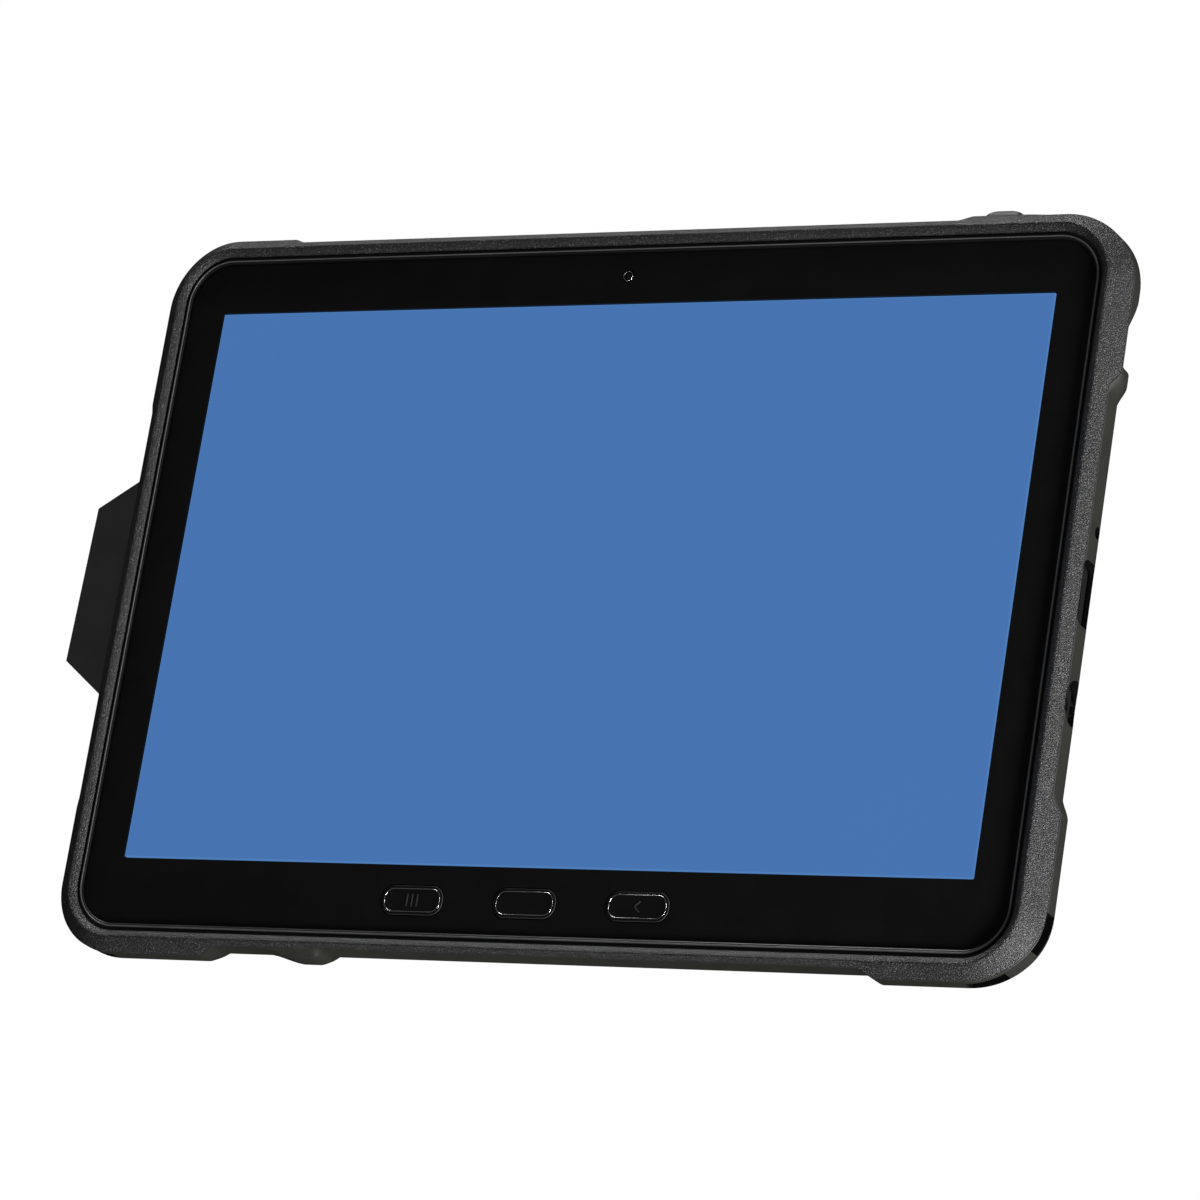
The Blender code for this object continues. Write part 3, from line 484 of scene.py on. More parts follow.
def slot_shape(side):
    """The curved strap slot in one lower corner guard, split by a post."""
    def arc(depth_x, depth_y, first, last, steps=12):
        turns = (math.radians(first + (last - first) * i / steps) for i in range(steps + 1))
        return [(side * (ARC_X + depth_x * math.cos(t)), -ARC_Y - depth_y * math.sin(t)) for t in turns]

    guard = (GUARD_X - ARC_X, GUARD_Y - ARC_Y)
    shape = arc(guard[0] + 3 * MM, guard[1] + 3 * MM, 0.7, 32.4)
    shape += arc(guard[0] - 2 * MM, guard[1] - 2 * MM, 32.4, 57.5)
    shape += arc(guard[0] + 3 * MM, guard[1] + 3 * MM, 57.5, 88.0)
    shape += arc(guard[0] - 4.8 * MM, guard[1] - 4.8 * MM, 88.0, 0.7, 20)
    return prism(shape, -6.7 * MM, -2.9 * MM)


# ---------------------------------------------------------------- case pieces

def paint_shade_in_openings(piece):
    """Paints shade onto the inner faces of the corner slots and of the side ports: a near-black painted
    shade, darker than the walls, standing in for the shade in these recesses.
    """
    piece.data.materials.append(PAINTED_SHADE)
    home = CASE.inverted()
    outer = GUARD_X - RECESS["right"] - 0.3 * MM
    for face in piece.data.polygons:
        x, y, z = home @ face.center
        reach = math.hypot((abs(x) - ARC_X) / (GUARD_X - ARC_X), (y + ARC_Y) / (GUARD_Y - ARC_Y))
        in_slot = abs(x) > ARC_X and y < -ARC_Y and reach < 0.95 and -6.8 * MM < z < -2.8 * MM
        at_port = any(abs(y - middle * MM) < half * MM for middle, half in PORTS)
        in_port = 118 * MM < x < outer and z < -0.7 * MM and at_port
        if in_slot or in_port:
            face.material_index = 1


def make_bumper():
    """Grainy frame: a ridge, an outer bevel down to the parting line, and a tongue inside the shell."""
    # The ridge: a gentle inner slope up to a narrow crest, as (out from the crest, height)
    ridge = [(-1.75, 0.62), (-1.65, 0.86), (-1.3, 1.2), (-0.85, 1.55), (-0.4, 1.82), (-0.12, 1.95),
             (0.04, 1.98), (0.17, 1.93)]
    rings = [level(CREST_X + u * MM, CREST_Y + u * MM, h * MM) for u, h in ridge]
    crown = ((0.12, 0.16), (0.3, 0.14), (0.6, 0.08), (0.92, 0.02))
    rings += [bevel_ring(share, lift=lift * MM) for share, lift in crown]
    rings += [bevel_ring(1.0, 0.06 * MM), at_parting(GUARD_X, GUARD_Y, 0.0, BUMPER_STEPS)]
    tongue_x, tongue_y = CAVITY_X + TONGUE, CAVITY_Y + TONGUE
    rings += [at_parting(tongue_x, tongue_y, 0.0), level(tongue_x, tongue_y, -TONGUE_DEPTH),
              level(CAVITY_X, CAVITY_Y, -TONGUE_DEPTH), level(CAVITY_X, CAVITY_Y, 0.9 * MM)]
    skin = add("bumper_skin", loft(rings, closed=True))
    carve(skin, case_tools())
    skin.data.materials.append(LOOKS["bumper"])
    # Painted shade on the insides of the slots and ports
    paint_shade_in_openings(skin)
    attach(skin, "bumper")
    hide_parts("front_bumper")


def make_gasket():
    """Dark groove between the bumper and the glass, with a thin bead in it. The bead's crest is a light grey
    strip: a painted highlight, on top of its real satin sheen.
    """
    bead = [(118.42, 82.55, 0.32), (118.42, 82.55, 0.62), (118.6, 82.8, 0.82), (118.9, 83.2, 0.9),
            (119.2, 83.5, 0.84), (119.38, 83.7, 0.62), (119.4, 83.72, 0.38), (121.4, 84.9, 0.38),
            (121.4, 84.9, 0.32)]
    rings = [level(x * MM, y * MM, z * MM) for x, y, z in bead]
    add("gasket_ring", loft(rings, closed=True), body="bumper", look=LOOKS["gasket"],
        replaces=("screen_gasket",))
    # The lip's light grey colour is a painted highlight on the bead's crest
    rings = []
    for i in range(9):
        turn = math.radians(180 - 22.5 * i)
        out, up = 0.2 * math.cos(turn), 0.2 * math.sin(turn)
        rings.append(level((118.92 + out) * MM, (83.22 + out) * MM, (0.78 + up) * MM))
    add("gasket_lip", loft(rings, closed=True), sharp=75, body="bumper", look=LIP_PAINTED_HIGHLIGHT)


def make_shell():
    """Smooth tray with a rabbet for the bumper's tongue, openings, camera window and screw holes."""
    rabbet_x, rabbet_y = CAVITY_X + TONGUE + GAP, CAVITY_Y + TONGUE + GAP
    rabbet_floor = -TONGUE_DEPTH - GAP
    back = BACK_Z - GLASS_Z
    rings = [
        level(CAVITY_X, CAVITY_Y, -10.2 * MM),
        level(CAVITY_X, CAVITY_Y, rabbet_floor),
        level(rabbet_x, rabbet_y, rabbet_floor),
        at_parting(rabbet_x, rabbet_y, GAP),
        at_parting(GUARD_X - 0.15 * MM, GUARD_Y - 0.15 * MM, GAP, BUMPER_STEPS),
        at_parting(GUARD_X, GUARD_Y, GAP + 0.15 * MM, BUMPER_STEPS),
        at_parting(GUARD_X, GUARD_Y, GAP + 1.6 * MM, SHELL_STEPS),
    ]
    # The wall's foot turns in under the back: (in from the wall, height)
    under = [(0.0, -6.2), (0.06, -6.55), (0.4, -7.5), (1.0, -8.8), (1.75, -10.3), (2.3, -11.1), (3.1, -11.75),
             (4.0, -12.2), (5.0, back / MM)]
    for inset, height in under:
        rings.append(level(GUARD_X - inset * MM, GUARD_Y - inset * MM, height * MM, SHELL_STEPS))
    shell = add("shell_body", loft(rings, closed=False))
    tools = case_tools()
    window = rounded((6 * MM, CAMERA_Y * MM), 13 * MM, 7.5 * MM, 4 * MM)
    tools.append(add("cut", prism(window, -14 * MM, -9 * MM)))
    for x, y in SCREWS:
        hole = oval((x * MM, y * MM), 1.3 * MM, 1.3 * MM, 16)
        tools.append(add("cut", prism(hole, -1 * MM, 3 * MM), BASE))
    carve(shell, tools)
    shell.data.materials.append(LOOKS["shell"])
    # Painted shade on the insides of the slots and ports
    paint_shade_in_openings(shell)
    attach(shell, "shell")
    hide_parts("rear_shell")


# ---------------------------------------------------------------- button caps and keys

# Each cover's middle, half width, top and outer face
BUTTONS = {
    "power": (POWER_X, 5.2, -1.35, 91.2),
    "volume": (VOLUME_X, 10.0, -1.5, 88.0),
    "shortcut": (SHORTCUT_X, 6.5, -1.5, 88.0),
}
FACE_OUT = Matrix(((1, 0, 0, 0), (0, 0, 1, 0), (0, -1, 0, 0), (0, 0, 0, 1)))


def make_caps():
    """Domed covers over the side keys, the long one with a dip between its two ends."""
    for name, (middle, half, top, outer) in BUTTONS.items():
        high, low, inner = top - 0.3, -7.0, 85.65
        rise, depth = (high - low) / 2, outer - inner

        def shape(inset):
            return rounded((0.0, 0.0), (half - inset) * MM, (rise - min(inset, 1.6) * 0.8) * MM, 1.3 * MM)

        layers = [(0.0, 0.0), (depth * 0.35, 0.0)]
        for i in range(1, 8):
            turn = math.radians(90 * i / 7)
            layers.append((depth * (0.35 + 0.65 * math.sin(turn)), 2.2 * (1 - math.cos(turn))))
        mesh = plug(shape, [(height * MM, inset) for height, inset in layers])
        if name == "volume":
            for vert in mesh.verts:
                dip = max(0.0, 1.0 - abs(vert.co.x) / (3.5 * MM))
                vert.co.z -= 0.5 * MM * dip * (vert.co.z > depth * 0.6 * MM)
        place = CASE @ at(middle, inner, (high + low) / 2) @ FACE_OUT
        add(f"{name}_cover", mesh, place, body=f"{name}_button", look=LOOKS["cap"],
            replaces=(f"{name}_cap",))


KEY_HALF, KEY_RISE, KEY_ROUND = 7.9, 3.4, 3.0
KEY_Y = -74.8
SIDE_KEY_Z = -5.9
FRONT_CAMERA = (-0.2, 76.8)
KEYS = {"key_recents": ("recents_key", -29.5), "key_home": ("home_key", -0.4), "key_back": ("back_key", 28.3)}


def key_shape(inset):
    return rounded((0.0, 0.0), (KEY_HALF - inset) * MM, (KEY_RISE - inset) * MM, (KEY_ROUND - inset) * MM, 14)


def key_ring(outer, inner, low, high):
    """A thin ring that follows the key's outline, with a ridged top."""
    middle, lip = (outer + inner) / 2, (inner - outer) * 0.12
    corners = [(outer, low), (outer, high - 0.1), (middle - lip, high), (middle + lip, high),
               (inner, high - 0.1), (inner, low)]
    return loft([[(x, y, height * MM) for x, y in key_shape(inset)] for inset, height in corners],
                closed=True)


def make_front_keys():
    """Black keys with a dished top, a polished chamfer line inside their edge and printed signs."""
    layers = [(-1.45, 0.0), (-0.02, 0.0), (0.07, 0.04), (0.13, 0.14), (0.17, 0.32), (0.18, 0.7), (0.16, 1.1),
              (0.12, 1.9), (0.10, 2.6)]
    bars = {
        "key_recents": [((x, 0.0), 0.0, 1.5) for x in (-1.3, 0.0, 1.3)],
        "key_home": [],
        "key_back": [((-0.05, 0.62), -48.0, 0.95), ((-0.05, -0.62), 48.0, 0.95)],
    }
    for name, (body, x) in KEYS.items():
        place = CASE @ at(x, KEY_Y, 0.0)
        mesh = plug(key_shape, [(height * MM, inset) for height, inset in layers])
        add(f"{name}_body", mesh, place, 25, body, LOOKS["key"], (name,))
        add(f"{name}_edge", key_ring(-0.02, 0.16, -0.1, 0.10), place, 60, body, MARK)
        add(f"{name}_chamfer", key_ring(0.60, 0.82, 0.05, 0.25), place, 60, body, TRIM)
        for i, (middle, turn, reach) in enumerate(bars[name], start=1):
            bar = prism(rounded((0.0, 0.0), 0.17 * MM, reach * MM, 0.16 * MM, 4), 0.09 * MM, 0.2 * MM)
            spin = Matrix.Rotation(math.radians(turn), 4, "Z")
            add(f"{name}_sign_{i}", bar, place @ at(*middle, 0.0) @ spin, 60, body, MARK)


def make_side_keys():
    """The tablet's own keys behind the covers: a stem with a rounded end and a foot inside."""
    for name, (middle, half, _, _) in BUTTONS.items():
        stem_half, stem_rise = half - 1.0, 1.3
        rows = [(-4.95, 0.7, 0.6), (-3.35, 0.7, 0.6), (-3.35, 0.0, 0.0), (-0.35, 0.0, 0.0),
                (-0.1, -0.1, -0.1), (0.0, -0.3, -0.3)]
        rings = []
        for height, wider, taller in rows:
            outline_here = rounded((0.0, 0.0), (stem_half + wider) * MM, (stem_rise + taller) * MM,
                                   0.9 * MM, 6)
            rings.append([(a, b, height * MM) for a, b in outline_here])
        place = CASE @ at(middle, 85.35, SIDE_KEY_Z) @ FACE_OUT
        add(f"{name}_stem", loft(rings, closed=False), place, body=f"tablet_{name}_key", look=LOOKS["key"],
            replaces=(f"{name}_key",))


# ---------------------------------------------------------------- tablet pieces

TABLET_BACK = -9.9
SOCKET_X = 121.4

def make_glass():
    """Border glass with a rounded edge, and holes for the screen, the keys and the front camera."""
    edge = [(0.0, -1.0), (0.0, -0.25), (0.05, -0.1), (0.15, -0.03), (0.3, 0.0)]
    rings = [level((120.4 - inset) * MM, (83.75 - inset) * MM, height * MM) for inset, height in edge]
    glass = add("border_glass", loft(rings, closed=False))
    window = rounded((0.0, -CASE_Y), 109.05 * MM, 68.25 * MM, 0.35 * MM, 4)
    tools = [add("cut", prism(window, -2 * MM, 1 * MM))]
    for _, x in KEYS.values():
        hole = rounded((x * MM, KEY_Y * MM), 8.2 * MM, 3.7 * MM, 3.3 * MM, 14)
        tools.append(add("cut", prism(hole, -2 * MM, 1 * MM)))
    camera_hole = oval((FRONT_CAMERA[0] * MM, FRONT_CAMERA[1] * MM), 1.6 * MM, 1.6 * MM, 32)
    tools.append(add("cut", prism(camera_hole, -2 * MM, 1 * MM)))
    carve(glass, tools)
    finish_piece(glass, "tablet", "glass", ("cover_glass",))


def finish_piece(piece, body, slot, replaces=(), look=None):
    piece.data.materials.append(look or LOOKS[slot])
    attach(piece, body)
    if replaces:
        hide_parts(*replaces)


def make_display():
    place = CASE @ Matrix.Translation((0.0, -CASE_Y, 0.0))
    layers = [(-1.8, 0.18), (-0.05, 0.18), (-0.02, 0.21)]

    def shape(inset):
        return rounded((0.0, 0.0), (108.75 - inset) * MM, (67.95 - inset) * MM,
                       max(0.08 - inset, 0.02) * MM, 3)

    mesh = plug(shape, [(height * MM, inset) for height, inset in layers])
    add("screen_panel", mesh, place, body="tablet", look=LOOKS["screen"],
        replaces=("display_panel",))
    corners = [(0.0, -1.2), (0.0, -0.05), (0.04, 0.0), (0.14, 0.0), (0.16, -0.05), (0.16, -1.2)]
    ring = loft([[(x, y, height * MM) for x, y in shape(inset)] for inset, height in corners], closed=True)
    add("screen_rim", ring, place, body="tablet", look=RIM)


def make_cameras():
    """Front lens, rear lens in a stepped ring, and a ribbed flash."""
    front = CASE @ at(*FRONT_CAMERA, 0.0)
    dome = [(0, -1.5), (0.95, -1.5), (0.95, -0.9), (0.88, -0.6), (0.72, -0.35), (0.5, -0.18), (0.25, -0.08),
            (0, -0.05)]
    add("front_lens", turned(dome, 32), front, body="tablet", look=LOOKS["lens"],
        replaces=("front_camera",))
    trim = [(1.0, -1.4), (1.3, -1.4), (1.3, -0.12), (1.2, 0.02), (1.1, 0.02), (1.0, -0.15)]
    add("front_lens_ring", turned(trim, 32), front, body="tablet", look=TRIM)
    rear = CASE @ at(0.0, CAMERA_Y, TABLET_BACK)
    add("rear_lens", turned([(0, 0.3), (1.2, 0.32), (2.0, 0.42), (2.4, 0.6), (2.4, 5.8), (0, 5.8)], 48), rear,
        body="tablet", look=LOOKS["lens"], replaces=("rear_camera",))
    ring = [(2.45, 0.5), (2.7, 0.12), (3.1, 0.0), (3.55, 0.0), (3.7, 0.15), (3.7, 0.6), (3.4, 1.0),
            (3.4, 6.0), (2.45, 6.0)]
    add("rear_lens_ring", turned(ring, 48), rear, body="tablet", look=LOOKS["steel"])
    flash = CASE @ at(12.0, CAMERA_Y, TABLET_BACK)
    steps = [(0, 0.12)]
    for i in range(1, 8):
        steps.append((0.2 * i, 0.12 if i % 2 else 0.28))
    steps += [(1.55, 0.0), (1.7, 0.15), (1.7, 2.5), (0, 2.5)]
    add("flash_window", turned(steps, 48), flash, body="tablet", look=LOOKS["flash"],
        replaces=("flash_lens",))


def make_tablet_body():
    """Frame with a rounded back edge, and the plate that closes it, with vents and a blank recess."""
    rings = [level(118.0 * MM, 81.35 * MM, -2.1 * MM), level(118.0 * MM, 81.35 * MM, -1.3 * MM),
             level(120.7 * MM, 84.05 * MM, -1.3 * MM), level(120.7 * MM, 84.05 * MM, -0.25 * MM),
             level(120.85 * MM, 84.2 * MM, -0.1 * MM), level(121.5 * MM, 84.85 * MM, -0.1 * MM),
             level(121.75 * MM, 85.1 * MM, -0.4 * MM), level(121.75 * MM, 85.1 * MM, -9.2 * MM),
             level(121.5 * MM, 84.85 * MM, -9.75 * MM), level(121.1 * MM, 84.45 * MM, -9.9 * MM),
             level(120.9 * MM, 84.25 * MM, -9.9 * MM), level(120.9 * MM, 84.25 * MM, -8.6 * MM),
             level(119.0 * MM, 82.35 * MM, -8.6 * MM), level(119.0 * MM, 82.35 * MM, -2.7 * MM)]
    body = add("tablet_body", loft(rings, closed=False))
    tools = []
    for shape in (rounded((USB_Y * MM, -5.2 * MM), 4.8 * MM, 1.9 * MM, 1.6 * MM),
                  oval((AUDIO_Y * MM, PORT_Z * MM), 2.7 * MM, 2.7 * MM, 32),
                  oval((MICROPHONE_Y * MM, PORT_Z * MM), 0.5 * MM, 0.5 * MM, 16)):
        tools.append(add("cut", prism(shape, 117 * MM, 124 * MM, "x")))
    for middle, half, _, _ in BUTTONS.values():
        hole = rounded((middle * MM, SIDE_KEY_Z * MM), (half - 0.7) * MM, 1.6 * MM, 1.0 * MM)
        tools.append(add("cut", prism(hole, 81 * MM, 87 * MM, "y")))
    tools.append(add("cut", prism(oval((0.0, CAMERA_Y * MM), 4 * MM, 4 * MM), -12 * MM, -3.0 * MM)))
    carve(body, tools)
    finish_piece(body, "tablet", "tablet", ("tablet_frame",))

    edge = [(0.0, -8.9), (0.0, -9.6), (0.12, -9.8), (0.35, -9.9)]
    rings = [level((120.6 - inset) * MM, (83.95 - inset) * MM, z * MM) for inset, z in edge]
    cover = add("tablet_back", loft(rings, closed=False))
    tools = []
    for x, radius in ((0, 4), (12, 2)):
        hole = oval((x * MM, CAMERA_Y * MM), radius * MM, radius * MM)
        tools.append(add("cut", prism(hole, -12 * MM, -7 * MM)))
    for i in range(12):
        slot_hole = rounded(((60 + 3.2 * i) * MM, -60 * MM), 0.6 * MM, 6 * MM, 0.5 * MM, 4)
        tools.append(add("cut", prism(slot_hole, -12 * MM, -9.6 * MM)))
    label = rounded((-70 * MM, -58 * MM), 24 * MM, 9 * MM, 2 * MM, 6)
    tools.append(add("cut", prism(label, -12 * MM, -9.75 * MM)))
    carve(cover, tools)
    finish_piece(cover, "tablet", "tablet", ("tablet_back_cover",))


def make_sockets():
    """Charging socket with its tongue and contacts, and a jack with a collar."""
    def along(shape_at, rows):
        return loft([[(z * MM, a, b) for a, b in shape_at(inset)] for z, inset in rows], closed=True)

    def oblong(inset):
        return rounded((0.0, 0.0), (4.5 - inset) * MM, (1.6 - inset) * MM, (1.3 - inset * 0.8) * MM, 8)

    place = CASE @ at(SOCKET_X, USB_Y, -5.2)
    rows = [(-7, 0.0), (-0.1, 0.0), (0.0, 0.1), (0.0, 0.25), (-0.15, 0.4), (-5.5, 0.4), (-5.5, 1.4),
            (-7, 1.4)]
    shell = along(oblong, rows)
    add("usb_shell", shell, place, body="tablet", look=LOOKS["steel"], replaces=("usb_socket",))
    tongue = rounded((0.0, 0.0), 3.3 * MM, 0.35 * MM, 0.3 * MM, 4)
    add("usb_tongue", prism(tongue, -7 * MM, -1.0 * MM, "x"), place, body="tablet", look=LOOKS["key"])
    pins = []
    for y in (-2.6, -1.9, -1.2, -0.5, 0.2, 0.9, 1.6, 2.3):
        for side in (1, -1):
            low = (-5 * MM, (y - 0.12) * MM, side * 0.36 * MM - 0.03 * MM)
            high = (-1.4 * MM, (y + 0.12) * MM, side * 0.36 * MM + 0.03 * MM)
            pins.append(box_mesh(low, high))
    add("usb_contacts", merged(pins), place, body="tablet", look=BRASS)

    place = CASE @ at(SOCKET_X, AUDIO_Y, PORT_Z) @ Matrix.Rotation(math.radians(90), 4, "Y")
    tube = [(1.75, -12), (1.75, -0.15), (1.9, 0.0), (2.25, 0.0), (2.4, -0.15), (2.4, -14), (1.0, -14),
            (1.0, -12)]
    add("jack_tube", turned(tube, 40), place, body="tablet", look=LOOKS["key"],
        replaces=("audio_jack",))
    ring = turned([(1.5, -1.6), (1.5, -1.1), (1.6, -1.0), (1.76, -1.0), (1.76, -1.6)], 40)
    add("jack_contact", ring, place, body="tablet", look=BRASS)


# ---------------------------------------------------------------- hub, strap and leg

PIN = at(-47, 0, -2.9)
PIN_BARREL = 2.6
BAR_Y, BAR_Z = 46, -4.2


def pin_barrel(first):
    """The round of a lug or knuckle on the leg's pin, as (x, z), over 202 degrees."""
    turns = [math.radians(first + 202 * i / 18) for i in range(19)]
    return [(PIN_BARREL * math.cos(t), PIN_BARREL * math.sin(t)) for t in turns]


def make_base():
    """Fixed disc with counterbored screws and a shallow ring recess."""
    profile = [(0, -0.3), (24.0, -0.3), (24.0, -3.0), (27.4, -3.0), (27.6, -3.2), (27.6, -4.5), (27.3, -4.8),
               (23.0, -4.8), (22.6, -4.6), (21.8, -4.6), (21.4, -4.8), (11, -4.8), (10.6, -4.5), (3, -4.4),
               (0, -4.4)]
    disc = add("hub_disc", turned(profile, 96), BASE)
    tools = []
    for x, y in SCREWS:
        bore = turned([(0, 3), (1.3, 3), (1.3, -3.3), (2.4, -3.3), (2.4, -6), (0, -6)], 24)
        tools.append(add("cut", bore, BASE @ at(x, y, 0)))
    carve(disc, tools)
    finish_piece(disc, "shell", "hub", ("swivel_base",))
    for i, (x, y) in enumerate(SCREWS, start=1):
        head = turned([(0, 1.9), (0.8, 1.9), (1.0, 1.6), (1.0, -3.6), (2.1, -3.6), (2.1, -4.1), (1.9, -4.45),
                       (1.4, -4.7), (0, -4.7)], 28)
        screw = add(f"hub_screw_{i}", head, BASE @ at(x, y, 0))
        star = []
        for k in range(12):
            radius = (0.95 if k % 2 == 0 else 0.62) * MM
            star.append((radius * math.cos(TAU * k / 12), radius * math.sin(TAU * k / 12)))
        carve(screw, [add("cut", prism(star, -6 * MM, -3.9 * MM), BASE @ at(x, y, 0))])
        finish_piece(screw, "shell", "steel", (f"base_screw_{i}",))
    washer = turned([(24.4, -2.35), (24.5, -2.3), (27.2, -2.3), (27.3, -2.35), (27.3, -2.65), (27.2, -2.7),
                     (24.5, -2.7), (24.4, -2.65)], 96)
    add("spring_washer", washer, BASE, body="shell", look=LOOKS["steel"],
        replaces=("friction_washer",))


def make_turntable():
    """Turning ring with arms for the bars and lugs for the pin, its rim notched for grip."""
    profile = [(24.3, -0.3), (40.8, -0.3), (41.0, -0.5), (41.0, -4.2), (40.7, -4.8), (40.2, -5.2),
               (38.2, -5.2),
               (37.9, -4.9), (36.4, -4.9), (36.1, -5.2), (28.3, -5.2), (27.9, -4.9), (27.9, -2.0),
               (24.3, -2.0)]
    table = add("turning_ring", turned(profile, 96), HUB)
    unions, cuts = [], []
    for end in (-1, 1):
        for side in (-1, 1):
            shape = [(end * 25, -0.3), (end * 48.6, -0.3), (end * 49, -0.7), (end * 49, -5.0),
                     (end * 47.7, -6.8),
                     (end * 47.3, -7.0), (end * 43.2, -7.0), (end * 42.6, -6.9), (end * 34, -5.2),
                     (end * 29, -5.1)]
            low, high = sorted((side * 28.5, side * 32.5))
            arm = prism([(a * MM, b * MM) for a, b in shape], low * MM, high * MM, "x")
            unions.append(add("cut", arm, HUB))
        barrel = pin_barrel(79)
        lug = [(x * MM, z * MM) for x, z in barrel + [(9.5, -1.9), (9.5, 2.6)]]
        low, high = sorted((end * 16.3, end * 24.0))
        unions.append(add("cut", prism(lug, low * MM, high * MM, "y"), HUB @ PIN))
        bar = oval((0.0, 0.0), 1.8 * MM, 1.8 * MM, 32)
        cuts.append(add("cut", prism(bar, -33.5 * MM, 33.5 * MM, "x"), HUB @ at(0, end * BAR_Y, BAR_Z)))
    pin = oval((0.0, 0.0), 1.5 * MM, 1.5 * MM, 32)
    cuts.append(add("cut", prism(pin, -23.3 * MM, 23.3 * MM, "y"), HUB @ PIN))
    for i in range(48):
        turn = TAU * (i + 0.5) / 48
        notch = oval((41.5 * MM * math.cos(turn), 41.5 * MM * math.sin(turn)), 0.9 * MM, 0.9 * MM, 12)
        cuts.append(add("cut", prism(notch, -4.4 * MM, -1.4 * MM), HUB))
    carve(table, unions, "UNION")
    carve(table, cuts)
    finish_piece(table, "swivel", "hub", ("turntable",))


def make_rods():
    """Strap bars and leg pin, with chamfered ends and a groove near each."""
    def rod(radius, reach):
        ends = [(0, 0), (radius - 0.3, 0), (radius, 0.3), (radius, 1.4), (radius - 0.15, 1.5),
                (radius - 0.15, 1.9), (radius, 2.0)]
        return turned([(r, z - reach) for r, z in ends] + [(r, reach - z) for r, z in ends[::-1]], 32)

    for name, end in (("upper", 1), ("lower", -1)):
        place = HUB @ at(0, end * BAR_Y, BAR_Z) @ Matrix.Rotation(math.radians(90), 4, "Y")
        add(f"strap_rod_{name}", rod(1.5, 32.1), place, body="swivel", look=LOOKS["steel"],
            replaces=(f"strap_bar_{name}",))
    place = HUB @ PIN @ Matrix.Rotation(math.radians(90), 4, "X")
    add("hinge_pin", rod(1.2, 22.9), place, body="swivel", look=LOOKS["steel"],
        replaces=("leg_pin",))


def strap_path():
    """Half of the strap's centre line as (y, z) in millimetres, from its flat middle up and over a bar."""
    start, end = Vector((27.0, -18.8)), Vector((48.6, -4.2))
    near, far = start + Vector((13.0, 0.0)), end - Vector((0.0, 9.8))
    path = [Vector((27.0 * i / 12, -18.8)) for i in range(12)]
    for i in range(25):
        t = i / 24
        path.append(start * (1 - t) ** 3 + near * 3 * t * (1 - t) ** 2 + far * 3 * t * t * (1 - t)
                    + end * t ** 3)
    for i in range(1, 17):
        turn = math.pi * i / 16
        path.append(Vector((46.0 + 2.6 * math.cos(turn), -4.2 + 2.6 * math.sin(turn))))
    tail = path[-1]
    path += [tail - Vector((0.0, 3.5 * i / 4)) for i in range(1, 5)]
    return path


def make_strap():
    """Webbing swept along its path, thinner at the woven edges, with a centre band and stitches."""
    half = strap_path()
    path = [Vector((-p.x, p.y)) for p in half[:0:-1]] + half
    frames = []
    for i, point in enumerate(path):
        along = (path[min(i + 1, len(path) - 1)] - path[max(i - 1, 0)]).normalized()
        frames.append((point, Vector((-along.y, along.x))))
    across = [(-25.0, 0.35), (-24.8, 0.55), (-24.3, 0.62), (-23.0, 0.62), (-22.7, 0.76), (-14.2, 0.76),
              (-14.0, 0.8),
              (14.0, 0.8), (14.2, 0.76), (22.7, 0.76), (23.0, 0.62), (24.3, 0.62), (24.8, 0.55), (25.0, 0.35)]
    profile = across + [(x, -t) for x, t in across[::-1]]
    rings = []
    for i, (point, out) in enumerate(frames):
        # A crosswise rib every other point, as in thick webbing
        rib = 1.0 if i % 2 else 0.94
        ring = []
        for x, t in profile:
            spot = point + out * t * rib
            ring.append((x * MM, spot.x * MM, spot.y * MM))
        rings.append(ring)
    add("strap_band", loft(rings, closed=False), HUB, 60, "swivel", LOOKS["strap"], ("hand_strap",))
    stitches = []
    for end in (-1, 1):
        for row in (21.5, 24.5):
            for k in range(19):
                x = -22.5 + 2.5 * k
                low = ((x - 0.8) * MM, (end * row - 0.25) * MM, -19.6 * MM)
                stitches.append(box_mesh(low, ((x + 0.8) * MM, (end * row + 0.25) * MM, -17.9 * MM)))
    add("strap_stitches", merged(stitches), HUB, 60, "swivel", THREAD)


def make_pad():
    """Soft pad with rounded edges, a piped seam and three quilted channels."""
    levels = [(-17.7, 1.6), (-17.55, 0.9), (-17.2, 0.4), (-16.7, 0.15), (-16.1, 0.0), (-15.6, 0.1),
              (-15.1, 0.4), (-14.7, 0.8), (-14.4, 1.4), (-14.25, 2.2), (-14.2, 3.2)]

    def shape(inset):
        return rounded((0.0, 0.0), (28.7 - inset) * MM, (24.7 - inset) * MM, (6 - min(inset, 3)) * MM, 10)

    pad = add("pad_cushion", plug(shape, [(z * MM, inset) for z, inset in levels]), HUB)
    channels = []
    for x in (-14, 0, 14):
        groove = oval((x * MM, -13.9 * MM), 1.4 * MM, 0.8 * MM, 20)
        channels.append(add("cut", prism(groove, -22 * MM, 22 * MM, "y"), HUB))
    carve(pad, channels)
    finish_piece(pad, "swivel", "pad", ("strap_pad",))
    rings = []
    for i in range(8):
        turn = TAU * i / 8
        ring = rounded((0.0, 0.0), (28.6 + 0.4 * math.cos(turn)) * MM, (24.6 + 0.4 * math.cos(turn)) * MM,
                       6 * MM, 10)
        rings.append([(x, y, (-16.1 + 0.4 * math.sin(turn)) * MM) for x, y in ring])
    piping = add("pad_piping", loft(rings, closed=True), HUB, body="swivel", look=LOOKS["strap"])


